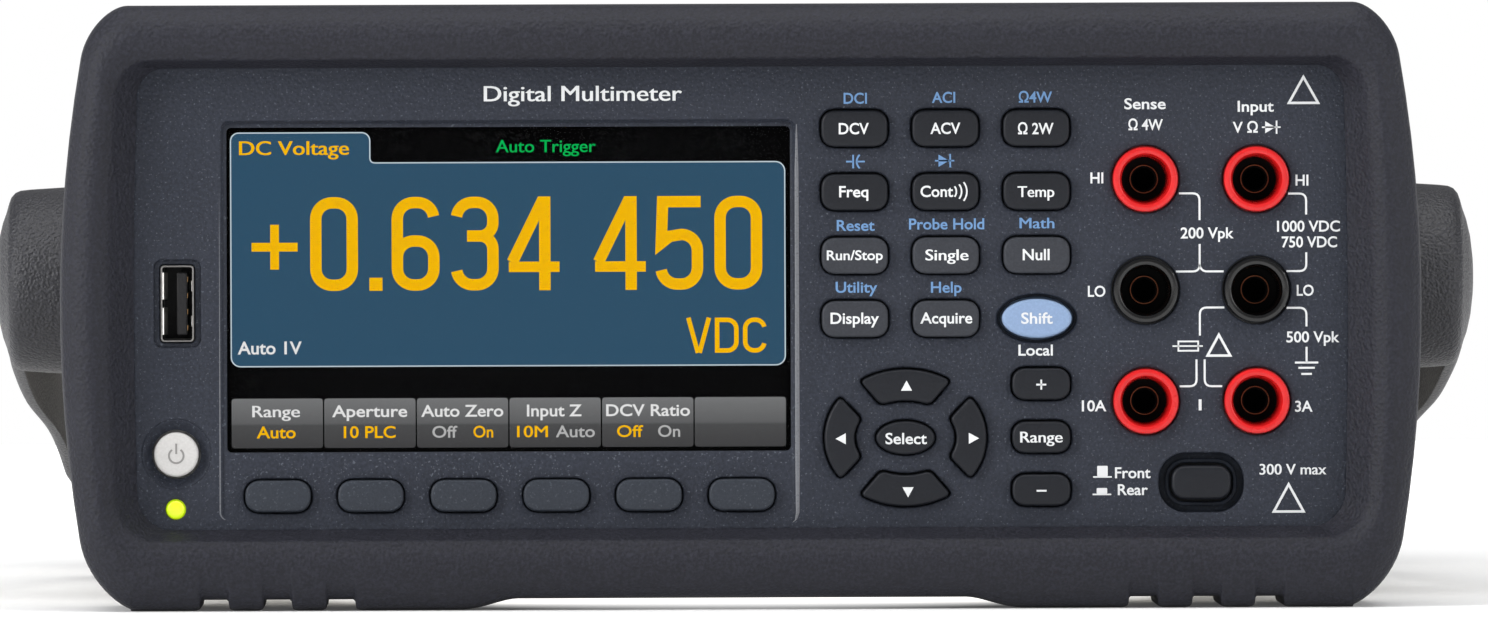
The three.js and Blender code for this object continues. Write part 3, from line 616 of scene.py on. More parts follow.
def bend(points, radius=1.4, steps=5):
    # a path whose inner corners are rounded
    path = [points[0]]
    for before, corner, after in zip(points, points[1:], points[2:]):
        for share in range(steps + 1):
            t = share / steps
            a = Vector(corner) + (Vector(before) - Vector(corner)).normalized() * radius * (1 - t)
            b = Vector(corner) + (Vector(after) - Vector(corner)).normalized() * radius * t
            path.append(tuple(a.lerp(b, t)))
    path.append(points[-1])
    return path


# front panel, with its display surround, wells and holes
panelLow, panelHigh = corners("front_panel")
panel = {
    "front": panelLow.y,
    "thickness": 3.0,
    "edge": 0.32,
    "corner": 3.0,
    "surround": (-89.3, 9.5, 14.9, 84.1),
    "surroundCorner": 1.6,
    "surroundDepth": 1.4,
    "screenOpening": (-88.2, 8.5, 27.1, 82.8),
    "ledge": 0.85,
    "keyGap": 0.25,
    "keyRise": 0.06,
    "shiftRecess": (6.9, 4.2, 1.1),
    "powerDish": (6.0, 4.2, 1.1),
    "usbRecess": (8.0, 15.0, 0.7),
    "selectorWell": (14.6, 10.2, 4.6, 2.0),
}
keySizes = {
    "softkey": (11.25, 5.45, 2.3),
    "range": (9.95, 5.4, 2.1),
    "function": (11.35, 6.2, 2.1),
    "ring": {"outer": (13.9, 11.75), "inner": (8.8, 6.4), "upright": (33.9, 28.2), "side": (36.7, 30.1)},
    "select": (5.0, 2.86),
    "shift": (5.98, 3.36),
    "edge": 0.5,
    "crown": 0.07,
}


def rounded(x, z, width, height, radius, steps=96):
    # the keypad's outline: a rounded rectangle whose corners run softly into its sides
    a, b = width / 2, height / 2
    return soften(roundedRect(x - a, x + a, z - b, z + b, min(radius, b - 0.05), 10), steps, 1.3)


def ringQuarter(x, z, towards, spans, grow):
    ring = keySizes["ring"]
    (ox, oz), (ix, iz) = ring["outer"], ring["inner"]
    outer, inner = spans
    outer += math.degrees(grow / ox)
    inner += math.degrees(grow / iz)
    steps = 24
    path = []
    for i in range(steps + 1):
        angle = math.radians(towards - outer + 2 * outer * i / steps)
        path.append((x + (ox + grow) * math.cos(angle), z + (oz + grow) * math.sin(angle)))
    for i in range(steps + 1):
        angle = math.radians(towards + inner - 2 * inner * i / steps)
        path.append((x + (ix - grow) * math.cos(angle), z + (iz - grow) * math.sin(angle)))
    return soften(path, 120, 1.9)


cursorMiddle = (middle("key_select").x, middle("key_up").z - (middle("key_up").z - middle("key_down").z) / 2)


def keyOutline(node, grow=0.0):
    centre = middle(node)
    x, z = centre.x, centre.z
    if node.startswith("softkey"):
        width, height, radius = keySizes["softkey"]
    elif node in ("key_plus", "key_range", "key_minus"):
        width, height, radius = keySizes["range"]
    elif node in ("key_up", "key_down", "key_left", "key_right"):
        towards = {"key_right": 0, "key_up": 90, "key_left": 180, "key_down": 270}[node]
        spans = keySizes["ring"]["upright" if towards in (90, 270) else "side"]
        return ringQuarter(*cursorMiddle, towards, spans, grow)
    elif node == "key_select":
        return ellipse(*cursorMiddle, *[half + grow for half in keySizes["select"]], 72)
    elif node == "key_shift":
        return ellipse(x, z, *[half + grow for half in keySizes["shift"]], 72)
    else:
        width, height, radius = keySizes["function"]
    return rounded(x, z, width + 2 * grow, height + 2 * grow, radius + grow)


def lifted(outline, rise):
    return [(x, z + rise) for x, z in outline]


keyNodes = sorted(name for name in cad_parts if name.startswith(("key_", "softkey_")))
jackNodes = sorted(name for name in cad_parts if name.startswith("jack_"))


def surroundDepth(z):
    low, high = panel["surround"][2:]
    return 0.02 + panel["surroundDepth"] * max(0.0, z - low) / (high - low)


def openLoft(loops):
    points, faces = loft(loops)
    return points, faces[:-2]


def wedge(shell, front, back, lean):
    # pushes the front of a plate back by lean(z), less and less towards its rear face
    points, faces = shell
    return [(x, y + lean(z) * (back - y) / (back - front), z) for x, y, z in points], faces


def makeFrontPanel():
    front, edge = panel["front"], panel["edge"]
    back = front + panel["thickness"]
    left, right, low, high = panel["surround"]
    power, lamp, port = middle("power_button"), middle("power_led"), middle("usb_port")
    select = middle("terminal_select_button")
    wellX, wellZ = select.x, select.z
    wellWidth, wellHeight, wellRadius, wellDepth = panel["selectorWell"]
    usbWidth, usbHeight, usbDepth = panel["usbRecess"]
    holes = [roundedRect(left, right, low, high, panel["surroundCorner"])]
    for node in keyNodes:
        if node == "key_shift":
            shift = middle(node)
            holes.append(ellipse(shift.x, shift.z, *panel["shiftRecess"][:2], 72))
        elif not node.startswith("softkey"):
            holes.append(lifted(keyOutline(node, panel["keyGap"]), panel["keyRise"]))
    holes.append(circle(power.x, power.z, panel["powerDish"][0]))
    holes.append(circle(lamp.x, lamp.z, 1.75, 24))
    holes.append(roundedRect(port.x - usbWidth / 2, port.x + usbWidth / 2,
                             port.z - usbHeight / 2, port.z + usbHeight / 2, 1.3))
    holes.append(roundedRect(wellX - wellWidth / 2, wellX + wellWidth / 2,
                             wellZ - wellHeight / 2, wellZ + wellHeight / 2, wellRadius, 12))
    holes += [circle(middle(node).x, middle(node).z, 5.85, 56) for node in jackNodes]
    body = Shell()
    outline = roundedRect(panelLow.x, panelHigh.x, panelLow.z, panelHigh.z, panel["corner"])
    points, faces = curvePlate([outline] + holes, front, back, edge)
    # the ledge strip carries the surround's own rounding, so the plate's is taken off round that hole
    near = panel["surroundCorner"] + 0.1
    points = [
        (x, front, z) if left - 0.45 < x < right + 0.45 and low - 0.45 < z < high + 0.45
        and (x < left + near or x > right - near or z < low + near or z > high - near)
        and y < front + edge + 0.02 else (x, y, z) for x, y, z in points
    ]
    body.add(points, faces)
    outer = roundedRect(left, right, low, high, panel["surroundCorner"], 10)
    loops = []
    for share in range(9):
        t = share / 8
        ease = t * t * (3 - 2 * t)
        ring = offset(outer, -panel["ledge"] * t)
        loops.append([(x, front + surroundDepth(z) * ease, z) for x, z in ring])
    deep = [(x, y + 0.3, z) for x, y, z in loops[-1]]
    body.add(*openLoft(loops + [deep]))
    floorBack = corners("display_window")[0].y - 0.06
    screen = roundedRect(*panel["screenOpening"], 0.8)
    soft = [keyOutline(node, panel["keyGap"]) for node in keyNodes if node.startswith("softkey")]
    floor = curvePlate([roundedRect(left - 0.7, right + 0.7, low - 0.7, high + 0.7, 1.5), screen] + soft,
                       front, floorBack, 0.25)
    body.add(*wedge(floor, front, floorBack, surroundDepth))
    # skirt that the bumper grips
    skirt = corners("front_panel")[1].y
    rim = [roundedRect(panelLow.x + inset, panelHigh.x - inset, panelLow.z + inset, panelHigh.z - inset, 2)
           for inset in (0.95, 2.95)]
    body.add(*curvePlate(rim, back - 0.5, skirt, 0.2))
    # wells
    port0, port1 = corners("usb_port")
    usbHole = roundedRect(port0.x - 0.15, port1.x + 0.15, port0.z - 0.15, port1.z + 0.15, 0.7)
    usbFloor = roundedRect(port.x - usbWidth / 2 - 0.5, port.x + usbWidth / 2 + 0.5,
                           port.z - usbHeight / 2 - 0.5, port.z + usbHeight / 2 + 0.5, 1.6)
    body.add(*curvePlate([usbFloor, usbHole], front + usbDepth, back - 0.1, 0.2))
    buttonHole = rounded(wellX, wellZ, 10.25 + 0.7, 6 + 0.7, 2.7)
    wellFloor = roundedRect(wellX - wellWidth / 2 - 0.4, wellX + wellWidth / 2 + 0.4,
                            wellZ - wellHeight / 2 - 0.4, wellZ + wellHeight / 2 + 0.4, wellRadius + 0.3, 12)
    # the selector's well floor and collar are in the darker finish, a painted shade
    well = Shell().add(*curvePlate([wellFloor, buttonHole], front + wellDepth, back - 0.05, 0.12))
    collar = rounded(wellX, wellZ, 10.25 + 2.1, 6 + 2.1, 3.3)
    well.add(*curvePlate([collar, buttonHole], front + 1.3, front + wellDepth + 0.2, 0.2))
    well.make("selectorWell", "body", "recessShade", "panel_plastic")
    dish, mouth, depth = panel["powerDish"]
    body.add(*turned([(dish + 0.2, front + 0.25), (dish - 0.2, front + 0.1),
                      (mouth + 0.5, front + depth * 0.8),
                      (mouth, front + depth), (mouth, back), (dish + 0.2, back)],
                     (power.x, 0, power.z), steps=56, ring=True))
    body.make("frontPanel", "body", "panel", "panel_plastic", ("front_panel",), sharp=40)
    # beads along the surround's left and right ledges, in a much lighter grey than the panel: a painted
    # highlight on the ledge edges
    bead = Shell()
    path = [(left - 0.12, high - 1.5), (left - 0.12, low + 2.0)] + arc(left + 1.3, low + 2.0, 1.42, 180, 250,
                                                                       8)
    loops = []
    for i, (x, z) in enumerate(path):
        taper = 0.02 if i in (0, len(path) - 1) else 0.15
        loops.append([(x + taper * math.cos(math.radians(a)),
                       front + 0.02 - 0.5 * taper * math.sin(math.radians(a)), z)
                      for a in range(0, 360, 45)])
    bead.add(*loft(loops))
    loops = []
    path = [(right + 0.1, high - 1.0), (right + 0.1, high - 9.0), (right + 0.1, low + 12.0),
            (right + 0.1, low + 1.6),
            (right - 0.2, low + 0.4), (right - 1.0, low - 0.3)]
    for (x, z), wide in zip(path, (0.1, 0.34, 0.4, 0.32, 0.2, 0.03)):
        loops.append([(x + wide * math.cos(math.radians(a)),
                       front + 0.02 - 0.3 * wide * math.sin(math.radians(a)), z)
                      for a in range(0, 360, 45)])
    bead.add(*loft(loops))
    bead.make("surroundBead", "body", "ledgeHighlight", "panel_plastic")
    # the shallow ring round the Shift key is in the darker finish, a painted shade
    shift = middle("key_shift")
    wide, tall, depth = panel["shiftRecess"]
    ring = curvePlate([ellipse(shift.x, shift.z, wide + 0.4, tall + 0.4, 72),
                       lifted(keyOutline("key_shift", 0.35), 0.0)], front + depth, back - 0.1, 0.15)
    Shell().add(*ring).make("shiftRecessRing", "body", "recessShade", "panel_plastic")


makeFrontPanel()
print("front panel made")


# keys: each cap stands for its node and rides on it, and so does what is printed on it
keyFinish = {"key_shift": "keyBlue"}
for keyName in ("key_run", "key_single", "key_null", "key_display", "key_acquire"):
    keyFinish[keyName] = "keyGrey"
legendHeight = 1.85
keyLegends = {
    "key_dcv": [("DCV", -0.1, 0.0, 5.15)], "key_acv": [("ACV", 0.0, 0.0, 5.15)],
    "key_ohms": [("Ω 2W", -0.1, -0.1, 6.1)], "key_freq": [("Freq", -0.15, 0.1, 5.0)],
    "key_cont": [("Cont", -1.5, 0.1, 5.6)], "key_temp": [("Temp", -0.1, 0.0, 6.3)],
    "key_single": [("Single", 0.2, 0.1, 7.4)], "key_null": [("Null", -0.1, 0.1, 4.6)],
    "key_display": [("Display", -0.05, 0.15, 8.3)], "key_acquire": [("Acquire", 0.05, 0.15, 8.9)],
    "key_shift": [("Shift", 0.0, 0.05, 5.4)], "key_select": [("Select", 0.1, -0.1, 7.1)],
    "key_range": [("Range", 0.0, 0.05, 7.3)],
}


def keySlot(node):
    if node == "key_shift":
        return "key_blue"
    return "key_grey" if node.startswith("softkey") or keyFinish.get(node) == "keyGrey" else "key_dark"


def makeKeys():
    for node in keyNodes:
        low, high = corners(node)
        front, back = low.y, high.y
        shape = Shell()
        shape.add(*cap(keyOutline(node), back, front, keySizes["edge"], keySizes["crown"]))
        shape.add(*slab(keyOutline(node, 1.0), front + 4.8, back))
        finish = "keySoft" if node.startswith("softkey") else keyFinish.get(node, "keyDark")
        shape.make(node.replace("_", "Cap_"), node, finish, keySlot(node), (node,), sharp=50)
        ink = Shell()
        centre = middle(node)
        face = front - 0.02
        for text, dx, dz, width in keyLegends.get(node, []):
            lettering(ink, text, centre.x + dx, centre.z + dz, width, legendHeight, face)
        if node == "key_cont":
            for end, reach in ((1.85, 1.45), (2.75, 2.0), (3.65, 2.6)):
                stroke(ink, arc(centre.x + end - reach, centre.z + 0.05, reach, -38, 38, 10), 0.27, face)
        if node == "key_run":
            lettering(ink, "Run/Stop", centre.x, centre.z + 0.1, 9.6, 1.6, face)
        if node in ("key_plus", "key_minus"):
            stroke(ink, [(centre.x - 0.85, centre.z - 0.1), (centre.x + 0.85, centre.z - 0.1)], 0.3, face)
            if node == "key_plus":
                stroke(ink, [(centre.x, centre.z - 0.95), (centre.x, centre.z + 0.75)], 0.3, face)
        if node in ("key_up", "key_down", "key_left", "key_right"):
            turn, dx, dz = {"key_right": (0, 11.6, -0.1), "key_up": (90, 0.2, 8.85),
                            "key_left": (180, -11.0, -0.1),
                            "key_down": (270, 0.4, -9.2)}[node]
            c, s = math.cos(math.radians(turn)), math.sin(math.radians(turn))
            ax, az = cursorMiddle[0] + dx, cursorMiddle[1] + dz
            arrow = [(1.0, 0.0), (-0.75, 0.95), (-0.75, -0.95)]
            ink.add(*slab([(ax + a * c - b * s, az + a * s + b * c) for a, b in arrow], face - 0.015,
                          face + 0.015))
        if ink.points:
            ink.make("legend_" + node, node, "inkWhite", "legend_white", sharp=30)


makeKeys()
print("keys made:", len(keyNodes))


# power button, lamp, USB port and terminal selector
def makeButtons():
    low, high = corners("power_button")
    centre = middle("power_button")
    shape = Shell()
    shape.add(*cap(circle(centre.x, centre.z, 3.8, 56), high.y, low.y, 0.5, 0.1))
    shape.add(*slab(circle(centre.x, centre.z, 4.7, 48), low.y + 4.6, high.y))
    shape.make("powerButton", "power_button", "white", "button_white", ("power_button",), sharp=50)
    # the power symbol in the darker grey finish, a painted shade for its embossing
    mark = Shell()
    stroke(mark, arc(centre.x, centre.z - 0.2, 1.25, 125, 415, 30), 0.34, low.y - 0.02)
    stroke(mark, [(centre.x, centre.z + 0.1), (centre.x, centre.z + 1.9)], 0.34, low.y - 0.02)
    mark.make("powerMark", "power_button", "embossShade", "button_white")
    low, high = corners("power_led")
    centre = middle("power_led")
    lens = [(1.53 * math.sin(math.radians(a)),
             low.y + 0.45 * (1 - math.cos(math.radians(a)))) for a in range(0, 91, 15)]
    lens += [(1.53, high.y - 1), (2.3, high.y - 1), (2.3, high.y), (0.0, high.y)]
    Shell().add(*turned(lens, (centre.x, 0, centre.z), steps=36)).make(
        "powerLens", "body", "led", "led_lens", ("power_led",))
    low, high = corners("terminal_select_button")
    centre = middle("terminal_select_button")
    shape = Shell()
    shape.add(*cap(rounded(centre.x, centre.z, 10.2, 5.8, 2.2), low.y + 9.6, low.y, 0.6, 0.12))
    shape.add(*slab(rounded(centre.x, centre.z, 12.2, 8.0, 3.2), low.y + 4.5, low.y + 6.4))
    shape.add(*block(centre.x - 2.5, centre.x + 2.5, low.y + 8.6, high.y, centre.z - 2.5, centre.z + 2.5,
                     0.4))
    shape.make("terminalSelector", "terminal_select_button", "keyDark", "key_dark",
               ("terminal_select_button",), sharp=50)


def makeUsbPort():
    low, high = corners("usb_port")
    outline = roundedRect(low.x, high.x, low.z, high.z, 0.6)
    mouth = roundedRect(low.x + 0.3, high.x - 0.3, low.z + 0.3, high.z - 0.3, 0.4)
    shell = Shell().add(*curvePlate([outline, mouth], low.y + 0.35, high.y - 1.5, 0.1))
    shell.add(*slab(outline, high.y - 1.6, high.y))
    shell.make("usbShell", "body", "usbSteel", "nickel", ("usb_port",), sharp=30)
    springs = Shell()
    for share, reach in ((0.27, 2.3), (0.73, 2.3)):  # two flared springs on one long side, and two flat ones
        z = low.z + (high.z - low.z) * share
        flare = [(low.x + 0.32, 0.5), (low.x + 0.42, 0.55), (low.x + 1.05, 2.6), (low.x + 0.95, 3.4),
                 (low.x + 0.32, 7.0)]
        springs.add(*loft([[(px, low.y + py, z - reach), (px, low.y + py, z + reach),
                            (px + 0.13, low.y + py + 0.06, z + reach),
                            (px + 0.13, low.y + py + 0.06, z - reach)]
                           for px, py in flare]))
        flat = [(high.x - 0.32, 2.4), (high.x - 0.8, 4.4), (high.x - 0.32, 7.0)]
        springs.add(*loft([[(px, low.y + py, z - 0.9), (px, low.y + py, z + 0.9),
                            (px - 0.13, low.y + py, z + 0.9),
                            (px - 0.13, low.y + py, z - 0.9)] for px, py in flat]))
    springs.make("usbSprings", "body", "nickel", "nickel", sharp=30)
    tongue = Shell().add(*block(high.x - 2.9, high.x - 1.15, low.y + 1.1, high.y - 1.4, low.z + 1.2,
                                high.z - 1.2, 0.2))
    tongue.add(*block(low.x + 0.5, high.x - 0.5, high.y - 3.2, high.y - 1.5, low.z + 0.5, high.z - 0.5, 0.1))
    tongue.make("usbTongue", "body", "blackPlastic", "black_plastic")
    pins = Shell()
    for i in range(4):
        z = low.z + 2.4 + i * (high.z - low.z - 4.8) / 3
        pins.add(*block(high.x - 1.2, high.x - 1.05, low.y + 1.6, low.y + 9, z - 0.45, z + 0.45, 0.03))
    pins.make("usbContacts", "body", "brass", "contact_brass")


makeButtons()
makeUsbPort()
print("buttons and port made")


# display: the lit picture on its module, under a clear window
display = {
    "fillFront": 0.1,
    "fillBack": 0.07,
    "markRise": 0.13,
    "blue": (-87.5, 7.6, 41.8, 76.7, 1.6),
    "tab": (-87.5, -63.6, 76.7, 81.9, 1.4),
    "tabs": (-87.6, 7.8, 27.8, 36.3),
    "outline": 0.2,
    "labels": [
        ("Range", -79.85, "Auto", "litYellow", 6.7), ("Aperture", -63.8, "10 PLC", "litYellow", 8.9),
        ("Auto Zero", -47.9, "Off|On", "litYellow", 4.3), ("Input Z", -32.1, "10M|Auto", "litYellow", 5.3),
        ("DCV Ratio", -16.0, "Off|On", "litYellow", 4.5),
    ],
}


def digits(shell, text, left, base, y, size=1.0, weight=1.0):
    # the readout's narrow figures, drawn as one even line; size 1 is a figure 16.1 high
    h, w = 16.1 * size, (8.2 if size == 1.0 else 10.9) * size
    line = 1.95 * weight
    t = line / 2
    x = left

    def loop(x0, x1, z0, z1, r):
        return roundedRect(x0 + t, x1 - t, z0 + t, z1 - t, r, 8)
    for letter in text:
        r = w / 2 - t - 0.35 * size
        x1, top = x + w, base + h
        if letter == ".":
            stroke(shell, [(x + t * 1.15, base), (x + t * 1.15, base + line * 1.15)], line * 1.15, y)
            x += line * 1.15 + 1.6
            continue
        if letter == "0":
            stroke(shell, loop(x, x1, base, top, r), line, y, close=True)
        if letter == "6":
            stroke(shell, loop(x, x1, base, base + h * 0.59, r), line, y, close=True)
            stroke(shell, arc(x1 - t - r, top - t - r, r, 8, 90, 8) + arc(x + t + r, top - t - r, r, 90, 180,
                                                                          8)
                   + [(x + t, base + h * 0.35)], line, y)
        if letter == "3":
            stroke(shell, arc(x + t + r, top - t - r, r, 172, 90, 8) + arc(x1 - t - r, top - t - r, r, 90, 0,
                                                                           8)
                   + arc(x1 - t - r * 0.8, base + h * 0.52 + t + r * 0.8, r * 0.8, 0, -90, 8)
                   + [(x + w * 0.34, base + h * 0.52 + t)], line, y)
            stroke(shell, [(x + w * 0.34, base + h * 0.52 + t)]
                   + arc(x1 - t - r * 0.8, base + h * 0.52 + t - r * 0.8, r * 0.8, 90, 0, 8)
                   + arc(x1 - t - r, base + t + r, r, 0, -90, 8) + arc(x + t + r, base + t + r, r, -90, -172,
                                                                       8), line, y)
        if letter == "4":
            stroke(shell, [(x1 - w * 0.27, top), (x1 - w * 0.27, base)], line, y)
            stroke(shell, [(x1 - w * 0.3, top - 0.4 * size), (x + t * 0.4, base + h * 0.3)], line, y)
            stroke(shell, [(x - 0.2 * size, base + h * 0.25), (x1 + 0.3 * size, base + h * 0.25)],
                   line * 0.92, y)
        if letter == "5":
            stroke(shell, [(x1 - 0.4 * size, top - t), (x + t + 0.3 * size, top - t),
                           (x + t + 0.05 * size, base + h * 0.5),
                           (x + w * 0.3, base + h * 0.57)]
                   + arc(x1 - t - r, base + h * 0.59 - r, r, 88, 0, 8)
                   + arc(x1 - t - r, base + t + r, r, 0, -90, 8) + arc(x + t + r, base + t + r, r, -90, -172,
                                                                       8), line, y)
        if letter == "V":
            stroke(shell, [(x + t * 0.7, top), (x + w / 2 - t * 0.35, base)], line, y)
            stroke(shell, [(x1 - t * 0.7, top), (x + w / 2 + t * 0.35, base)], line, y)
        if letter == "D":
            stroke(shell, arc(x1 - t - r, base + t + r, r, -90, 0, 8) + arc(x1 - t - r, top - t - r, r, 0, 90,
                                                                            8)
                   + [(x + t, top - t), (x + t, base + t)], line, y, close=True)
        if letter == "C":
            stroke(shell, arc(x1 - t - r, top - t - r, r, 12, 90, 8) + arc(x + t + r, top - t - r, r, 90, 180,
                                                                           8)
                   + arc(x + t + r, base + t + r, r, 180, 270, 8) + arc(x1 - t - r, base + t + r, r, -90, -12,
                                                                        8), line, y)
        x = x1 + 1.95 * size


def makeDisplay():
    low, high = corners("display_module")
    face = low.y
    fill = (face - display["fillFront"], face - display["fillBack"])
    mark = face - display["markRise"]
    lit = {name: Shell() for name in ("litBlack", "litBlue", "litYellow", "litWhite", "litGrey", "litGreen",
                                      "litEdge", "litTab")}
    lit["litBlack"].add(*slab(roundedRect(-90.2, 11.2, 25.4, 84.3, 0.6), face - 0.06, face - 0.02))
    x0, x1, z0, z1, corner = display["blue"]
    t0, t1, _, tabTop, tabCorner = display["tab"]
    # one outline round the area and its tab
    outline = (arc(x1 - corner, z0 + corner, corner, -90, 0, 8) + arc(x1 - corner, z1 - corner, corner, 0, 90,
                                                                      8)
               + arc(t1 + 0.8, z1 + 0.8, 0.8, 270, 180, 6) + arc(t1 - tabCorner, tabTop - tabCorner,
                                                                 tabCorner, 0, 90, 8)
               + arc(t0 + tabCorner, tabTop - tabCorner, tabCorner, 90, 180, 8)
               + arc(x0 + corner, z0 + corner, corner, 180, 270, 8))
    lit["litBlue"].add(*curvePlateFlat([outline], *fill))
    stroke(lit["litEdge"], outline, display["outline"], mark, close=True)
    words = [
        ("litYellow", "DC Voltage", -76.6, 79.3, 18.9, 2.35),
        ("litGreen", "Auto Trigger", -33.4, 79.5, 17.15, 2.1),
        ("litWhite", "Auto 1V", -80.9, 45.0, 11.0, 2.1),
    ]
    for finish, text, x, z, width, height in words:
        bold = 0.008 if text == "Auto Trigger" else 0.018
        lettering(lit[finish], text, x, z, width, height, mark, bold)
    for dx, dz in ((3.95, 0.0), (0.0, 3.85)):
        stroke(lit["litYellow"], [(-80.0 - dx, 62.3 - dz), (-80.0 + dx, 62.3 + dz)], 1.5, mark)
    digits(lit["litYellow"], "0.634", -73.9, 54.75, mark)
    digits(lit["litYellow"], "450", -24.8, 54.75, mark)
    digits(lit["litYellow"], "VDC", -9.3, 43.9, mark, 0.375, 0.4)
    left, right, bottom, top = display["tabs"]
    step = (right - left) / 6
    for i in range(6):
        a, b = left + i * step + 0.12, left + (i + 1) * step - 0.12
        lit["litTab"].add(*slab(roundedRect(a, b, bottom, top, 0.5, 3), *fill))
    for text, x, below, finish, width in display["labels"]:
        wide = {"Range": 8.2, "Aperture": 12.9, "Auto Zero": 14.1, "Input Z": 9.4, "DCV Ratio": 14.4}[text]
        lettering(lit["litWhite"], text, x, 34.1, wide, 1.95, mark, 0.016)
        if "|" not in below:
            lettering(lit["litYellow"], below, x, 30.5, width, 1.95, mark, 0.016)
    pairs = [("Off", -50.9, 4.3, "litGrey"), ("On", -44.3, 3.4, "litYellow"),
             ("10M", -35.85, 5.3, "litYellow"),
             ("Auto", -28.5, 6.7, "litGrey"), ("Off", -19.1, 4.5, "litYellow"), ("On", -12.4, 3.8, "litGrey")]
    for text, x, width, finish in pairs:
        lettering(lit[finish], text, x, 30.5, width, 1.95, mark, 0.012)
    for name, shell in lit.items():
        shell.make("picture_" + name, "body", name, "display_picture", sharp=30)
    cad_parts["display_module"].data.materials.clear()
    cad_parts["display_module"].data.materials.append(finishes["blackPlastic"])
    low, high = corners("display_window")
    sheet = Shell().add(*block(low.x, high.x, low.y, high.y, low.z, high.z, 0.15))
    sheet.make("displayWindow", "body", glass, "window_glass", ("display_window",), sharp=20)


def curvePlateFlat(outlines, front, back):
    curve = bpy.data.curves.new("flat", "CURVE")
    curve.dimensions = "2D"
    curve.fill_mode = "BOTH"
    curve.extrude = (back - front) / 2
    for outline in outlines:
        spline = curve.splines.new("POLY")
        spline.points.add(len(outline) - 1)
        for point, (x, z) in zip(spline.points, outline):
            point.co = (x, z, 0, 1)
        spline.use_cyclic_u = True
    points, faces = readMesh(bpy.data.objects.new("flat", curve))
    return [(x, (front + back) / 2 - y, z) for x, z, y in points], faces


makeDisplay()
print("display made")


# safety jacks
jackShape = {"outer": 5.6, "bore": 4.3, "throat": 3.75, "contact": 2.05, "sleeve": 2.45}


def makeJacks():
    floors, sleeves = Shell(), Shell()
    for node in jackNodes:
        low, high = corners(node)
        centre = middle(node)
        front = low.y
        outer, bore, contact = jackShape["outer"], jackShape["bore"], jackShape["contact"]
        lip = [(bore - 0.12, front + 1.2), (bore, front + 0.5), (bore + 0.14, front + 0.14),
               (bore + 0.4, front + 0.02),
               (outer - 0.5, front), (outer - 0.16, front + 0.14), (outer, front + 0.5)]
        throat = jackShape["throat"]
        profile = [(0, front + 22.1), (contact, front + 22.1), (contact, front + 9.2), (throat, front + 9.2),
                   (throat + 0.1, front + 6.0)] + lip
        profile += [(outer, front + 4.8), (7.0, front + 4.8), (7.0, front + 6.3), (6.0, front + 6.3),
                    (6.0, front + 25.1), (2.0, front + 25.1), (2.0, high.y), (0, high.y)]
        red = node in ("jack_sense_hi", "jack_input_hi", "jack_amps_10", "jack_amps_3")
        Shell().add(*turned(profile, (centre.x, 0, centre.z), steps=64)).make(
            node.replace("_", "Ring_", 1), "body", "red" if red else "black",
            "jack_red" if red else "jack_black", (node,), sharp=40)
        # a near-black floor at the bottom of the bore is painted shade for the depth of the hole, with the
        # sleeve that grips the plug in its middle
        floors.add(*turned([(0, front + 21.5), (contact - 0.1, front + 21.5), (contact - 0.1, front + 8.7),
                            (throat + 0.03, front + 8.7), (throat + 0.03, front + 9.1),
                            (contact + 0.2, front + 9.1),
                            (contact + 0.2, front + 21.8), (0, front + 21.8)], (centre.x, 0, centre.z),
                           steps=56))
        radius = jackShape["sleeve"]
        sleeves.add(*turned([(radius, front + 8.72), (radius, front + 7.9), (radius - 0.05, front + 7.85),
                             (radius - 0.13, front + 7.85), (radius - 0.18, front + 7.9),
                             (radius - 0.18, front + 8.72)],
                            (centre.x, 0, centre.z), steps=48, ring=True))
    floors.make("jackInserts", "body", "boreShade", "jack_black")
    sleeves.make("jackSleeves", "body", "copper", "contact_brass")


makeJacks()
print("jacks made")


# printed legends on the front panel
ink = {
    "blue": [
        ("DCI", 19.7, 87.5, 4.0), ("ACI", 34.85, 87.6, 4.0), ("Ω4W", 50.6, 87.6, 5.7),
        ("Reset", 19.7, 65.7, 6.5), ("Probe Hold", 35.3, 65.9, 12.9), ("Math", 50.8, 66.0, 6.0),
        ("Utility", 19.8, 55.1, 7.15), ("Help", 35.2, 55.05, 5.25),
    ],
    "white": [
        ("Local", 50.5, 44.2, 5.9), ("Sense", 69.4, 86.4, 7.1), ("Ω 4W", 69.5, 82.8, 5.9),
        ("Input", 88.4, 85.9, 6.2), ("V Ω", 86.6, 82.3, 4.3), ("HI", 61.1, 73.7, 2.2),
        ("HI", 96.3, 73.2, 2.2), ("LO", 61.0, 54.25, 3.0), ("LO", 96.8, 54.3, 2.9),
        ("200 Vpk", 80.0, 64.2, 9.1), ("1000 VDC", 97.4, 65.3, 10.8), ("750 VDC", 97.55, 62.6, 9.5),
        ("500 Vpk", 98.1, 46.3, 9.1), ("10A", 60.5, 34.6, 4.2), ("3A", 96.5, 34.4, 3.0),
        ("I", 78.7, 34.7, 0.5), ("Front", 67.1, 23.1, 6.1), ("Rear", 67.1, 20.2, 5.15),
        ("300 V max", 94.6, 23.6, 11.5),
    ],
    "title": ("Digital Multimeter", -27.0, 88.5, 34.0, 2.6),
    "height": 1.8,
    "line": 0.34,
}


def diode(shell, x, z, width, y):
    # a triangle against a bar, on a short lead
    half = width * 0.32
    stroke(shell, [(x - width / 2, z), (x + width / 2, z)], 0.26, y)
    shell.add(*slab([(x - half, z - half), (x + half * 0.7, z), (x - half, z + half)], y - 0.015, y + 0.015))
    stroke(shell, [(x + half * 0.9, z - half * 1.1), (x + half * 0.9, z + half * 1.1)], 0.28, y)


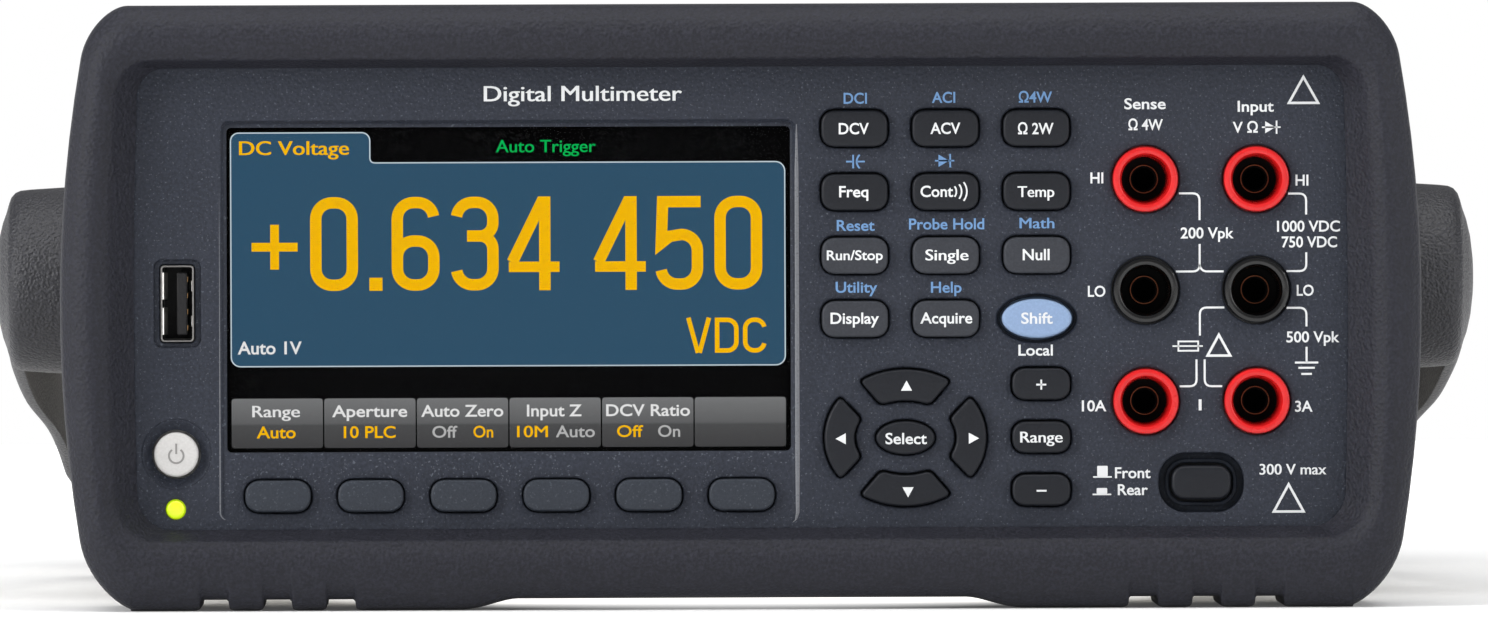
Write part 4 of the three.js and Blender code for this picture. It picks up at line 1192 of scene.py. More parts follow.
def makeLegends():
    face = panel["front"] - 0.02
    blue, white = Shell(), Shell()
    for text, x, z, width in ink["blue"]:
        lettering(blue, text, x, z, width, ink["height"], face)
    # capacitor: two plates on their leads
    stroke(blue, [(19.3, 75.5), (19.3, 77.8)], 0.3, face)
    stroke(blue, [(18.1, 76.65), (19.3, 76.65)], 0.28, face)
    stroke(blue, arc(21.4, 76.65, 1.5, 130, 230, 10), 0.3, face)
    stroke(blue, [(19.9, 76.65), (21.3, 76.65)], 0.28, face)
    diode(blue, 35.0, 76.75, 3.3, face)
    for text, x, z, width in ink["white"]:
        lettering(white, text, x, z, width, ink["height"], face)
    text, x, z, width, height = ink["title"]
    lettering(white, text, x, z, width, height, face, 0.012)
    diode(white, 91.05, 82.3, 3.2, face)
    line = ink["line"]
    brackets = [
        [(75.2, 71.0), (78.7, 71.0), (78.7, 66.4)], [(78.7, 62.3), (78.7, 57.6), (74.6, 57.6)],
        [(93.9, 70.9), (97.0, 70.9), (97.0, 67.3)],
        [(97.0, 60.8), (97.0, 57.6), (93.6, 57.6)], [(82.9, 51.4), (78.7, 51.4), (78.7, 46.6)],
        [(93.6, 51.3), (97.0, 51.3), (97.0, 48.1)], [(78.1, 42.5), (78.1, 37.9), (75.2, 37.9)],
        [(79.5, 42.5), (79.5, 37.9), (82.5, 37.9)], [(97.0, 44.6), (97.0, 41.9)],
    ]
    for path in brackets:
        stroke(white, bend(path, 1.2) if len(path) > 2 else path, line, face)
    stroke(white, arc(79.9, 58.8, 1.2, 180, 270, 6) + [(82.8, 57.6)], line, face)
    for half, z in ((2.0, 41.9), (1.4, 41.0), (0.9, 39.95)):
        stroke(white, [(97.0 - half, z), (97.0 + half, z)], line, face)
    stroke(white, [(75.0, 44.0), (78.4, 44.0), (78.4, 45.6), (75.0, 45.6)], 0.28, face, close=True)
    stroke(white, [(74.0, 44.8), (79.2, 44.8)], 0.26, face)
    for x0, x1, z0, z1 in ((79.8, 84.1, 43.0, 47.0), (93.9, 99.3, 86.3, 91.2), (91.1, 96.6, 16.2, 21.3)):
        stroke(white, [(x0 + 0.2, z0 + 0.15), (x1 - 0.2, z0 + 0.15), ((x0 + x1) / 2, z1 - 0.3)], 0.42, face,
               close=True)
    for x0, x1, z0, z1 in ((61.0, 62.8, 22.5, 24.3), (60.9, 62.7, 19.5, 20.5)):
        white.add(*slab(roundedRect(x0, x1, z0, z1, 0.15, 2), face - 0.015, face + 0.015))
        stroke(white, [(x0 - 0.7, z0 - 0.1), (x1 + 0.7, z0 - 0.1)], 0.26, face)
    blue.make("legendsBlue", "body", "inkBlue", "legend_blue", sharp=30)
    white.make("legendsWhite", "body", "inkWhite", "legend_white", sharp=30)


makeLegends()
print("legends made")


# rubber bumpers, lofted round the case from their lip to their rear edge
bumper = {
    "midHeight": 52.0,
    "footStart": 38.5,
    "footRamp": 10.2,
    "notches": ((66.2, 71.3), (77.1, 82.1), (87.9, 92.9)),
    "padCorner": 1.1,
    "front": (
        (104.1, 13.9, 93.0, 144.95, 1, 5, 6, 0), (108.6, 11.9, 94.4, 150.4, 2, 6, 7, 0),
        (111.6, 8.2, 98.0, 151.6, 3, 7, 9, 0), (115.4, 3.6, 102.2, 149.4, 4, 9, 11, 0.3),
        (116.8, 1.9, 103.8, 143.6, 4.3, 9, 12, 1), (116.4, 1.9, 103.8, 118.6, 4.3, 9, 12, 1),
        (115.0, 2.9, 102.6, 114.6, 4, 8, 11, 0.5), (108.6, 7.2, 99.6, 111.6, 0.6, 4, 4, 0),
        (106.75, 8.95, 97.95, 111.6, 0, 3, 3, 0), (106.75, 8.95, 97.95, 144.95, 0, 3, 3, 0),
    ),
    "rear": (
        (101.5, 15.0, 92.0, 141.25, 0.5, 5, 5, 0), (105.6, 12.4, 94.2, 150.4, 1.5, 6, 7, 0),
        (111.2, 8.2, 98.0, 151.6, 3, 7, 9, 0), (115.4, 3.6, 102.2, 149.4, 4, 9, 11, 0.3),
        (116.8, 1.9, 103.8, 143.6, 4.3, 9, 12, 1), (116.4, 1.9, 103.8, 125.0, 4.3, 9, 12, 1),
        (115.0, 2.9, 102.6, 121.0, 4, 8, 11, 0.5), (108.6, 7.2, 99.6, 118.0, 0.6, 4, 4, 0),
        (106.75, 8.95, 97.95, 118.0, 0, 3, 3, 0), (106.75, 8.95, 97.95, 141.25, 0, 3, 3, 0),
    ),
}


def spline(keys, share):
    # Catmull-Rom between the middle two of four tuples
    t = share
    weights = (-0.5 * t + t * t - 0.5 * t ** 3, 1 - 2.5 * t * t + 1.5 * t ** 3,
               0.5 * t + 2 * t * t - 1.5 * t ** 3, -0.5 * t * t + 0.5 * t ** 3)
    return tuple(sum(w * key[i] for w, key in zip(weights, keys)) for i in range(len(keys[0])))


def footProfile():
    # (x, share of the foot's drop) from the middle outwards, with rounded pad corners
    start, ramp, r = bumper["footStart"], bumper["footRamp"], bumper["padCorner"]
    points = [(0.0, 0.0), (start * 0.5, 0.0), (start - 3, 0.0)]
    for i in range(13):
        t = i / 12
        points.append((start + ramp * t, (1 - math.cos(math.pi * t ** 0.85)) / 2))
    edges = [(start + ramp + 1.2, 1.0)]
    for near, far in bumper["notches"]:
        for i in range(6):  # down the pad's rounded corner into the notch
            angle = math.radians(90 * i / 5)
            edges.append((near - r + r * math.sin(angle), 1 - 0.16 * (1 - math.cos(angle)) * 1.6))
        edges += [(near + 0.15, 0.2), (near + 0.5, 0.02), (far - 0.5, 0.02), (far - 0.15, 0.2)]
        for i in range(6):
            angle = math.radians(90 - 90 * i / 5)
            edges.append((far + r - r * math.sin(angle), 1 - 0.16 * (1 - math.cos(angle)) * 1.6))
    return points + edges + [(98.0, 1.0)]


def bumperLoop(section, side, feet):
    halfWidth, bottom, top, y, bow, topRadius, bottomRadius, foot = section
    foot = min(1.0, max(0.0, foot))
    half = [(x, bottom - bottom * foot * drop) for x, drop in feet if x < halfWidth - bottomRadius - 0.05]
    while len(half) < len(feet):
        half.append((halfWidth - bottomRadius - 0.05 + 0.01 * len(half) / 60, bottom * (1 - foot)))
    low = bottom * (1 - foot)
    mid = bumper["midHeight"]
    steps = 14
    curve = arc(halfWidth - bottomRadius, low + bottomRadius, bottomRadius, -90, 0, steps)
    for i in range(1, 12):
        z = low + bottomRadius + (top - topRadius - low - bottomRadius) * i / 12
        curve.append((halfWidth, z))
    curve += arc(halfWidth - topRadius, top - topRadius, topRadius, 0, 90, steps)
    sideways = halfWidth - max(topRadius, bottomRadius)
    for x, z in curve:
        share = min(1.0, max(0.0, (x - sideways) / (halfWidth - sideways)))
        half.append((x - bow * ((z - mid) / 46) ** 2 * math.sqrt(share), z))
    for i in range(1, 10):
        half.append(((halfWidth - topRadius) * (1 - i / 10), top))
    left = [(-x, z) for x, z in reversed(half[1:])]
    return [(x, side * y, z) for x, z in half + [(0.0, top)] + left]


def makeBumper(name, node, rows, side):
    feet = footProfile()
    sections = []
    for i in range(8):
        if i < 7:
            steps = 6 if i < 5 else 5
            near = [rows[i] if i == 1 else rows[max(i - 1, 0)], rows[i], rows[i + 1], rows[min(i + 2, 7)]]
            smooth = i not in (0, 4, 6)
            for k in range(steps):
                t = k / steps
                values = spline(near, t) if smooth else tuple(a + (b - a) * t for a,
                                                              b in zip(rows[i], rows[i + 1]))
                sections.append(values)
        else:
            sections.append(rows[7])
    sections += [rows[8], rows[9]]
    limitTop, limitSide, limitFront = rows[4][2], rows[4][0], rows[2][3]
    trimmed = []
    for s in sections:
        trimmed.append((min(s[0], limitSide), max(s[1], 1.9), min(s[2], limitTop),
                        min(s[3], limitFront)) + tuple(s[4:]))
    loops = [bumperLoop(s, side, feet) for s in trimmed]
    Shell().add(*loft(loops, ring=True)).make(name, "body", "bumper", "bumper_rubber", (node,), sharp=55,
                                              weld=True)


makeBumper("frontBumper", "front_bumper", bumper["front"], -1)
makeBumper("rearBumper", "rear_bumper", bumper["rear"], 1)
print("bumpers made")


# tilting handle: a moulded band, hollow on its inner side, with a hub at each end
handle = {
    "path": (
        (125.9, -2, 0.5, 14.6, 5), (125.6, 12, -3.1, 14.5, 5), (124.4, 35, -9.1, 14, 4.6),
        (121.6, 60, -15.9, 12.6, 4.2), (119.9, 85, -23, 11.5, 4.4), (118.7, 103, -30, 11, 4.8),
        (116.3, 116, -38.5, 11, 5.5), (111.5, 124, -46.5, 11, 6.5), (103, 126.6, -50.8, 11, 7),
        (92, 127, -51.2, 11, 7.2), (46, 127, -51.2, 11, 7.2), (0, 127, -51.2, 11, 7.2),
    ),
    "slope": 14.6,
    "wall": 1.8,
    "hub": ((11.4, 109.0), (15.9, 109.0), (16.5, 109.4), (16.7, 110.4), (16.5, 118.0), (16.1, 124.5),
            (15.9, 126.3), (15.5, 127.2), (14.7, 127.9), (13.6, 128.3), (12.0, 128.75), (10.2, 129.4),
            (7.5, 130.05), (4.0, 130.5), (0.0, 130.6), (0.0, 120.6), (11.4, 120.6)),
}
hingeLow, hingeHigh = corners("handle_pivot_right")
hinge = ((hingeLow.y + hingeHigh.y) / 2, (hingeLow.z + hingeHigh.z) / 2)


def handleStations():
    right = []
    path = handle["path"]
    for i in range(len(path) - 1):
        near = [path[max(i - 1, 0)], path[i], path[i + 1], path[min(i + 2, len(path) - 1)]]
        steps = 6 if i > 3 else 5
        right += [spline(near, k / steps) for k in range(steps)]
    right.append(path[-1])
    left = [(-x,) + tuple(rest) for x, *rest in reversed(right[:-1])]
    return right + left


def makeHandle():
    stations = handleStations()
    loops = []
    wall = handle["wall"]
    for i, (x, y, z, w, thick) in enumerate(stations):
        before, after = stations[max(i - 1, 0)], stations[min(i + 1, len(stations) - 1)]
        along = (Vector(after[:3]) - Vector(before[:3])).normalized()
        t = min(1.0, max(0.0, (y - 85) / 41))
        slope = math.radians(handle["slope"] + (90 - handle["slope"]) * t * t * (3 - 2 * t))
        across = Vector((0, math.sin(slope), math.cos(slope)))
        through = along.cross(across).normalized()
        h = thick / 2
        r = 1.5
        right = [(w - r + r * math.cos(math.radians(a)),
                  h - r + r * math.sin(math.radians(a))) for a in range(0, 91, 18)]
        left = [(-a, b) for a, b in reversed(right)]
        t = min(1.0, max(0.0, (y - 95) / 26))
        foot = (h - wall - 0.7) * (1 - t) - h * t  # the edges turn in deeper towards the grip
        inner = [(-w, foot + 0.2), (-w + 0.3, foot), (-w + wall - 0.3, foot), (-w + wall, foot + 0.2),
                 (-w + wall, h - wall - 0.4), (-w + wall + 0.4, h - wall), (w - wall - 0.4, h - wall),
                 (w - wall, h - wall - 0.4), (w - wall, foot + 0.2), (w - wall + 0.3, foot), (w - 0.3, foot),
                 (w, foot + 0.2)]
        crown = [(w * (0.75 - 0.25 * k), h) for k in range(1, 6)]
        outline = right + crown + left + inner
        centre = Vector((x, hinge[0] + y, hinge[1] + z))
        loops.append([tuple(centre + across * a + through * b) for a, b in outline])
    shape = Shell().add(*loft(loops))
    for side in (-1, 1):
        profile = [(r, side * x) for r, x in handle["hub"]]
        shape.add(*turned(profile, (0, hinge[0], hinge[1]), axis="X", steps=72, ring=True))
    shape.make("carryHandle", "carry_handle", "handle", "handle_plastic", ("carry_handle",), sharp=42)


makeHandle()
print("handle made")


# repeats grown with Geometry Nodes on a few starting points
def repeatGroup(name, sizes, build):
    # a tree with named inputs, realised and painted at its end; build(tree, given) returns the instances
    group = bpy.data.node_groups.new(name, "GeometryNodeTree")
    group.interface.new_socket(name="Geometry", in_out="OUTPUT", socket_type="NodeSocketGeometry")
    for label, kind in {"Geometry": "Geometry", **sizes, "Material": "Material"}.items():
        group.interface.new_socket(name=label, in_out="INPUT", socket_type="NodeSocket" + kind)
    source = group.nodes.new("NodeGroupInput")
    given = {port.name: Value(group, port) for port in source.outputs if port.name}
    tree = NodeTree(group)
    whole = tree.node("GeometryNodeRealizeInstances", None, {"Geometry": build(tree, given)})
    painted = tree.node("GeometryNodeSetMaterial", None, {"Geometry": whole, "Material": given["Material"]})
    group.links.new(painted.socket, group.nodes.new("NodeGroupOutput").inputs["Geometry"])
    return group


def grow(group, starts, name, body, finish, slot, sizes, sharp=30):
    mesh = bpy.data.meshes.new(name + "Starts")
    mesh.from_pydata([Vector(start) * mm for start in starts], [], [])
    holder = bpy.data.objects.new(name + "Starts", mesh)
    bpy.context.scene.collection.objects.link(holder)
    modifier = holder.modifiers.new("repeat", "NODES")
    modifier.node_group = group
    given = {**sizes, "Material": finishes[finish]}
    for item in group.interface.items_tree:
        if item.in_out == "INPUT" and item.name in given:
            modifier[item.identifier] = given[item.name]
    graph = bpy.context.evaluated_depsgraph_get()
    result = bpy.data.meshes.new_from_object(holder.evaluated_get(graph))
    holder.modifiers.remove(modifier)
    bpy.data.objects.remove(holder)
    if not result.polygons:
        raise RuntimeError("nothing grew for " + name)
    work = bmesh.new()
    work.from_mesh(result)
    bmesh.ops.recalc_face_normals(work, faces=work.faces)
    work.to_mesh(result)
    work.free()
    return place(result, name, body, finish, slot, sharp=sharp)


def screwHeads(tree, given):
    # a domed head with a crossed recess, each turned by its own amount
    radius, height, recess = given["Radius"], given["Height"], given["Recess"]
    head = tree.node("GeometryNodeMeshCylinder", {"fill_type": "TRIANGLE_FAN"}, {
        "Vertices": 26, "Side Segments": 1, "Fill Segments": 5, "Radius": radius, "Depth": height,
    })
    spot = tree.node("GeometryNodeInputPosition")
    x, y, z = (tree.node("ShaderNodeSeparateXYZ", None, {"Vector": spot}, output=i) for i in range(3))
    out = (x * x + y * y) / (radius * radius)
    drop = out * out * height * tree.ramp(z, 0.0, 1e-5) * 0.5
    offset = tree.node("ShaderNodeCombineXYZ", None, {"Z": 0.0 - drop})
    domed = tree.node("GeometryNodeSetPosition", None, {"Geometry": head, "Offset": offset})
    bars = []
    for wide, deep in (("X", "Y"), ("Y", "X")):
        size = tree.node("ShaderNodeCombineXYZ", None, {wide: recess, deep: recess * 0.26, "Z": height * 1.2})
        bar = tree.node("GeometryNodeMeshCube", None, {"Size": size})
        lift = tree.node("ShaderNodeCombineXYZ", None, {"Z": height * 0.6})
        bars.append(tree.node("GeometryNodeTransform", None, {"Geometry": bar, "Translation": lift}))
    cross = tree.node("GeometryNodeMeshBoolean", {"operation": "UNION"}, {"Mesh 2": tree.join(*bars)})
    cut = tree.node("GeometryNodeMeshBoolean", {"operation": "DIFFERENCE"},
                    {"Mesh 1": domed, "Mesh 2": cross})
    heads = tree.node("GeometryNodeInstanceOnPoints", None, {
        "Points": given["Geometry"], "Instance": cut, "Rotation": given["Turn"],
    })
    spin = tree.node("FunctionNodeRandomValue", {"data_type": "FLOAT"}, {2: 0.0, 3: 1.57, "Seed": 7},
                     output=1)
    return tree.node("GeometryNodeRotateInstances", None, {
        "Instances": heads, "Rotation": tree.node("ShaderNodeCombineXYZ", None, {"Z": spin}),
    })


def rowOf(tree, given, item):
    # copies along the row's own Y from each start
    step = tree.node("ShaderNodeCombineXYZ", None, {"Y": given["Pitch"]})
    row = tree.node("GeometryNodeMeshLine", None, {"Count": given["Count"], "Offset": step})
    copies = tree.node("GeometryNodeInstanceOnPoints", None, {"Points": row, "Instance": item})
    return tree.node("GeometryNodeInstanceOnPoints", None, {
        "Points": given["Geometry"], "Instance": copies, "Rotation": given["Turn"],
    })


def slotRims(tree, given):
    # a rolled rim round each slot, long way along X
    frameCurve = tree.node("GeometryNodeCurvePrimitiveQuadrilateral", None, {
        "Width": given["Length"], "Height": given["Width"],
    })
    soft = tree.node("GeometryNodeFilletCurve", {"mode": "POLY"}, {
        "Curve": frameCurve, "Count": 4, "Radius": given["Width"] * 0.3,
    })
    wire = tree.node("GeometryNodeCurvePrimitiveCircle", None, {"Resolution": 8, "Radius": given["Rim"]})
    return rowOf(tree, given, tree.node("GeometryNodeCurveToMesh", None,
                                        {"Curve": soft, "Profile Curve": wire}))


def roundBars(tree, given):
    # round bars lying along X, such as contact wires and grip ribs
    bar = tree.node("GeometryNodeMeshCylinder", {"fill_type": "TRIANGLE_FAN"}, {
        "Vertices": 10, "Side Segments": 1, "Fill Segments": 2, "Radius": given["Radius"],
        "Depth": given["Length"],
    })
    lying = tree.node("GeometryNodeTransform", None, {"Geometry": bar, "Rotation": (0.0, math.pi / 2, 0.0)})
    return rowOf(tree, given, lying)


def knurls(tree, given):
    # ribs round a knob, standing along Z
    rib = tree.node("GeometryNodeMeshCylinder", {"fill_type": "TRIANGLE_FAN"}, {
        "Vertices": 8, "Side Segments": 1, "Fill Segments": 2, "Radius": given["Rib"],
        "Depth": given["Length"],
    })
    ring = tree.node("GeometryNodeMeshCircle", None, {"Vertices": given["Count"], "Radius": given["Radius"]})
    ribs = tree.node("GeometryNodeInstanceOnPoints", None, {"Points": ring, "Instance": rib})
    return tree.node("GeometryNodeInstanceOnPoints", None, {
        "Points": given["Geometry"], "Instance": ribs, "Rotation": given["Turn"],
    })


grown = {
    "screws": repeatGroup("screwHeads", {
        "Radius": "Float", "Height": "Float", "Recess": "Float", "Turn": "Rotation"}, screwHeads),
    "rims": repeatGroup("slotRims", {
        "Count": "Int", "Pitch": "Float", "Length": "Float", "Width": "Float", "Rim": "Float",
        "Turn": "Rotation"}, slotRims),
    "bars": repeatGroup("roundBars", {
        "Count": "Int", "Pitch": "Float", "Radius": "Float", "Length": "Float", "Turn": "Rotation"},
                        roundBars),
    "knurls": repeatGroup("knurls", {
        "Count": "Int", "Radius": "Float", "Length": "Float", "Rib": "Float", "Turn": "Rotation"}, knurls),
}
quarter = math.pi / 2
facing = {"back": (-quarter, 0.0, 0.0), "left": (0.0, -quarter, 0.0), "right": (0.0, quarter, 0.0),
          "down": (0.0, math.pi, 0.0), "up": (0.0, 0.0, 0.0)}


# screws, slot rims, and the fittings on the rear panel
rear = {
    "screw": {"radius": 2.6, "height": 1.5, "recess": 2.9},
    "smallScrew": {"radius": 1.9, "height": 1.1, "recess": 2.1},
    "groundScrew": {"radius": 3.4, "height": 2.2, "recess": 3.6},
    "panelScrews": ((-97.0, 86.5), (97.0, 86.5), (-98.0, 19.5), (97.0, 19.5), (0.0, 86.5)),
    "fanScrews": 16.0,
    "inletScrews": ((-62.0, 45.0), (-98.0, 45.0)),
    "blockScrews": ((78.9, 64.5), (97.6, 64.5)),
    "ground": (62.5, 21.5),
    "baseScrews": ((-90.0, -96.0), (90.0, -96.0), (-90.0, 104.0), (90.0, 104.0)),
    "jackColumns": (69.4, 88.45),
    "jackRows": (74.0, 55.0),
    "lowJack": (69.4, 36.0),
    "jackMouth": 144.0,
    "jackEnd": 131.0,
    "bncLip": 150.0,
    "inletPins": ((-7.0, 33.5), (0.0, 36.5), (7.0, 33.5)),
    "slotRim": {"count": 12, "pitch": 6.0, "first": -6.5, "width": 3.0, "side": (48.0, 28.0), "base": 64.0,
                "rim": 0.22},
    "labels": (
        ("Sense", 69.4, 86.3, 8.2), ("Input", 88.45, 86.3, 7.4), ("HI", 78.9, 74.0, 2.6),
        ("LO", 78.9, 55.0, 3.4),
        ("3A", 60.0, 36.0, 3.4), ("Fuse", 88.45, 25.4, 6.2), ("Trig Out", 26.0, 34.6, 10.0),
        ("Trig In", 44.0, 34.6, 8.4), ("LAN", 0.0, 47.4, 5.4), ("Line 100-240 V", -80.0, 79.4, 22.0),
        ("50/60 Hz  25 VA", -80.0, 75.6, 22.0),
    ),
    "labelHeight": 2.1,
}


def screwSizes(kind, turn):
    size = rear[kind]
    return {"Radius": size["radius"] * mm, "Height": size["height"] * mm, "Recess": size["recess"] * mm,
            "Turn": facing[turn]}


def rearLettering(shell, text, x, z, width, y):
    # as lettering, turned to read from behind
    front = Shell()
    lettering(front, text, x, z, width, rear["labelHeight"], y)
    shell.add([(2 * x - px, py, pz) for px, py, pz in front.points], front.faces)


def makeScrews():
    back = corners("rear_panel")[1].y
    heads = [(x, back + 0.6, z) for x, z in rear["panelScrews"]]
    grow(grown["screws"], heads, "rearScrews", "body", "nickel", "nickel", screwSizes("screw", "back"))
    fan, reach = middle("fan_frame"), rear["fanScrews"]
    small = [(fan.x + a * reach, back + 0.4, fan.z + b * reach) for a in (-1, 1) for b in (-1, 1)]
    small += [(x, back + 0.4, z) for x, z in rear["inletScrews"] + rear["blockScrews"]]
    grow(grown["screws"], small, "fittingScrews", "body", "nickel", "nickel",
         screwSizes("smallScrew", "back"))
    x, z = rear["ground"]
    grow(grown["screws"], [(x, back + 2.0, z)], "groundScrew", "body", "nickel", "nickel",
         screwSizes("groundScrew", "back"))
    washer = Shell()
    for radius, y in ((5.2, back), (4.4, back + 0.6)):
        washer.add(*turned([(1.2, y + 0.05), (radius, y + 0.05), (radius, y + 0.4), (radius - 0.2, y + 0.6),
                            (1.2, y + 0.6)], (x, 0, z), steps=40, ring=True))
    washer.make("groundWashers", "body", "zinc", "nickel")
    low = corners("case_cover")[0].z
    heads = [(x, y, low - 0.35) for x, y in rear["baseScrews"]]
    grow(grown["screws"], heads, "baseScrews", "body", "nickel", "nickel", screwSizes("screw", "down"))


def makeSlotRims():
    rims = rear["slotRim"]
    low, high = corners("case_cover")
    sizes = {"Count": rims["count"], "Pitch": rims["pitch"] * mm, "Width": rims["width"] * mm,
             "Rim": rims["rim"] * mm}
    z, length = rims["side"]
    for side, x in (("left", low.x), ("right", high.x)):
        grow(grown["rims"], [(x, rims["first"], z)], side + "SlotRims", "body", "steelPaint", "cover_paint",
             {**sizes, "Length": length * mm, "Turn": facing[side]}, 50)
    grow(grown["rims"], [(0, rims["first"], low.z)], "baseSlotRims", "body", "steelPaint", "cover_paint",
         {**sizes, "Length": rims["base"] * mm, "Turn": facing["down"]}, 50)


def makeRearTerminals():
    back = corners("rear_panel")[1].y
    mouth, end = rear["jackMouth"], rear["jackEnd"]
    rings = {"red": Shell(), "black": Shell()}
    floors, sleeves = Shell(), Shell()
    places = [(x, z) for x in rear["jackColumns"] for z in rear["jackRows"]] + [rear["lowJack"]]
    for x, z in places:
        colour = "black" if z == rear["jackRows"][1] else "red"
        rings[colour].add(*turned([
            (5.62, back + 0.06), (7.1, back + 0.06), (7.1, back + 0.8), (6.8, back + 1.2), (6.5, back + 1.3),
            (6.45, mouth - 0.5), (6.2, mouth - 0.1), (5.9, mouth + 0.05), (5.62, mouth + 0.03),
        ], (x, 0, z), steps=56, ring=True))
        # near-black floors deep in the rear jacks, a painted shade
        floors.add(*turned([(1.9, end + 0.05), (4.25, end + 0.05), (4.25, mouth - 7.0), (1.9, mouth - 7.0)],
                           (x, 0, z), steps=40, ring=True))
        sleeves.add(*turned([(1.85, end + 0.05), (2.4, end + 0.05), (2.4, mouth - 6.2), (2.3, mouth - 6.0),
                             (1.95, mouth - 6.0), (1.85, mouth - 6.2)], (x, 0, z), steps=40, ring=True))
    rings["red"].make("rearRingsRed", "body", "red", "jack_red", sharp=40)
    rings["black"].make("rearRingsBlack", "body", "black", "jack_black", sharp=40)
    floors.make("rearInserts", "body", "boreShade", "jack_black")
    sleeves.make("rearSleeves", "body", "brass", "contact_brass")
    cap = middle("current_fuse_cap")
    capLow, capHigh = corners("current_fuse_cap")
    length = 4.4
    grow(grown["knurls"], [(cap.x, capHigh.y - 0.8 - length / 2, cap.z)], "fuseCapGrip", "current_fuse_cap",
         "blackPlastic", "black_plastic",
         {"Count": 26, "Radius": 6.45 * mm, "Length": length * mm, "Rib": 0.36 * mm, "Turn": facing["back"]})


def makeBncs():
    collars, liners, pins = Shell(), Shell(), Shell()
    lip = rear["bncLip"]
    starts = []
    for node in ("trigger_bnc", "output_bnc"):
        centre = middle(node)
        x, z = centre.x, centre.z
        for side in (-1, 1):
            collars.add(*turned([(0, x + side * 4.6), (1.05, x + side * 4.6), (1.05, x + side * 5.75),
                                 (0.8, x + side * 6.05), (0, x + side * 6.05)], (0, lip - 3.2, z), axis="X",
                                steps=20))
        collars.add(*turned([(5.02, lip - 0.7), (5.3, lip - 0.6), (5.3, lip - 0.1), (5.1, lip + 0.05),
                             (4.1, lip + 0.05), (4.02, lip - 0.2), (4.02, lip - 0.7)], (x, 0, z), steps=48,
                            ring=True))
        liners.add(*turned([(1.08, 143.46), (3.94, 143.46), (3.94, 145.4), (2.5, 145.4), (2.3, 145.6),
                            (2.3, lip - 2.0),
                            (1.08, lip - 2.0)], (x, 0, z), steps=40, ring=True))
        pins.add(*turned([(0.6, lip - 2.4), (1.06, lip - 2.4), (1.06, lip - 1.2), (0.9, lip - 0.92),
                          (0.6, lip - 0.92)],
                         (x, 0, z), steps=24, ring=True))
        starts.append((x, 141.95, z))
    collars.make("bncLugs", "body", "nickel", "nickel")
    liners.make("bncLiners", "body", "white", "button_white")
    pins.make("bncPins", "body", "brass", "contact_brass")
    grow(grown["knurls"], starts, "bncNutTeeth", "body", "nickel", "nickel",
         {"Count": 40, "Radius": 7.5 * mm, "Length": 1.1 * mm, "Rib": 0.34 * mm, "Turn": facing["back"]})


def makeRearPorts():
    face = corners("data_port_stack")[1].y
    stack = middle("data_port_stack").x
    liner = Shell()
    for x0, x1, z0, z1 in ((-5.85, 5.85, 32.05, 40.75), (-4.15, 4.15, 18.95, 26.95)):
        outline = roundedRect(stack + x0, stack + x1, z0, z1, 0.3, 2)
        inner = roundedRect(stack + x0 + 0.4, stack + x1 - 0.4, z0 + 0.4, z1 - 0.4, 0.2, 2)
        liner.add(*loft([level(outline, face - 0.3), level(outline, face - 12), level(inner, face - 12),
                         level(inner, face - 0.3)], ring=True))
        liner.add(*block(stack + x0 + 0.1, stack + x1 - 0.1, face - 12.4, face - 11.9, z0 + 0.1, z1 - 0.1,
                         0.1))
    liner.add(*block(stack - 2.88, stack + 2.88, face - 11.8, face - 1.9, 20.92, 24.88, 0.3))
    liner.make("portLiners", "body", "blackPlastic", "black_plastic", sharp=30)
    wires = {"Radius": 0.2 * mm, "Turn": (0.0, 0.0, quarter), "Count": 8, "Pitch": 1.02 * mm,
             "Length": 6.0 * mm}
    grow(grown["bars"], [(stack + 3.57, face - 5.5, 39.7)], "networkContacts", "body", "brass",
         "contact_brass", wires)
    grow(grown["bars"], [(stack + 1.2, face - 5.5, 25.6)], "squarePortContacts", "body", "brass",
         "contact_brass",
         {**wires, "Count": 2, "Pitch": 2.4 * mm})
    lamps = Shell()
    for side in (-1, 1):
        lamps.add(*block(stack + side * 6.9 - 0.9, stack + side * 6.9 + 0.9, face - 0.1, face + 0.12, 41.2,
                         43.0, 0.1))
    lamps.make("networkLamps", "body", "led", "led_lens", sharp=30)


def makeInletMetal():
    low, high = corners("mains_inlet")
    centre = (low.x + high.x) / 2
    pins = Shell()
    for offset, z in rear["inletPins"]:
        pins.add(*block(centre + offset - 1.06, centre + offset + 1.06, high.y - 17.6, high.y - 4.9, z - 2.06,
                        z + 2.06, 0.35))
    pins.make("inletPins", "body", "nickel", "nickel", sharp=30)
    drawerLow, drawerHigh = corners("mains_fuse_drawer")
    x = (drawerLow.x + drawerHigh.x) / 2
    grow(grown["bars"], [(x, drawerHigh.y, drawerLow.z + 1.6)], "drawerGrip", "mains_fuse_drawer",
         "blackPlastic",
         "black_plastic",
         {"Count": 4, "Pitch": 1.5 * mm, "Radius": 0.34 * mm, "Length": 14.0 * mm,
          "Turn": (quarter, 0.0, 0.0)})


def makeRearLegends():
    face = corners("rear_panel")[1].y + 0.02
    shell = Shell()
    for text, x, z, width in rear["labels"]:
        rearLettering(shell, text, x, z, width, face)
    x, z = rear["ground"][0] - 8.6, rear["ground"][1]
    stroke(shell, [(x, z + 2.6), (x, z)], 0.4, face)
    for half, down in ((2.0, 0.0), (1.3, 0.9), (0.6, 1.8)):
        stroke(shell, [(x - half, z - down), (x + half, z - down)], 0.4, face)
    shell.make("rearLegends", "body", "inkDark", "legend_white", sharp=30)


makeScrews()
makeSlotRims()
makeRearTerminals()
makeBncs()
makeRearPorts()
makeInletMetal()
makeRearLegends()
print("rear fittings made")


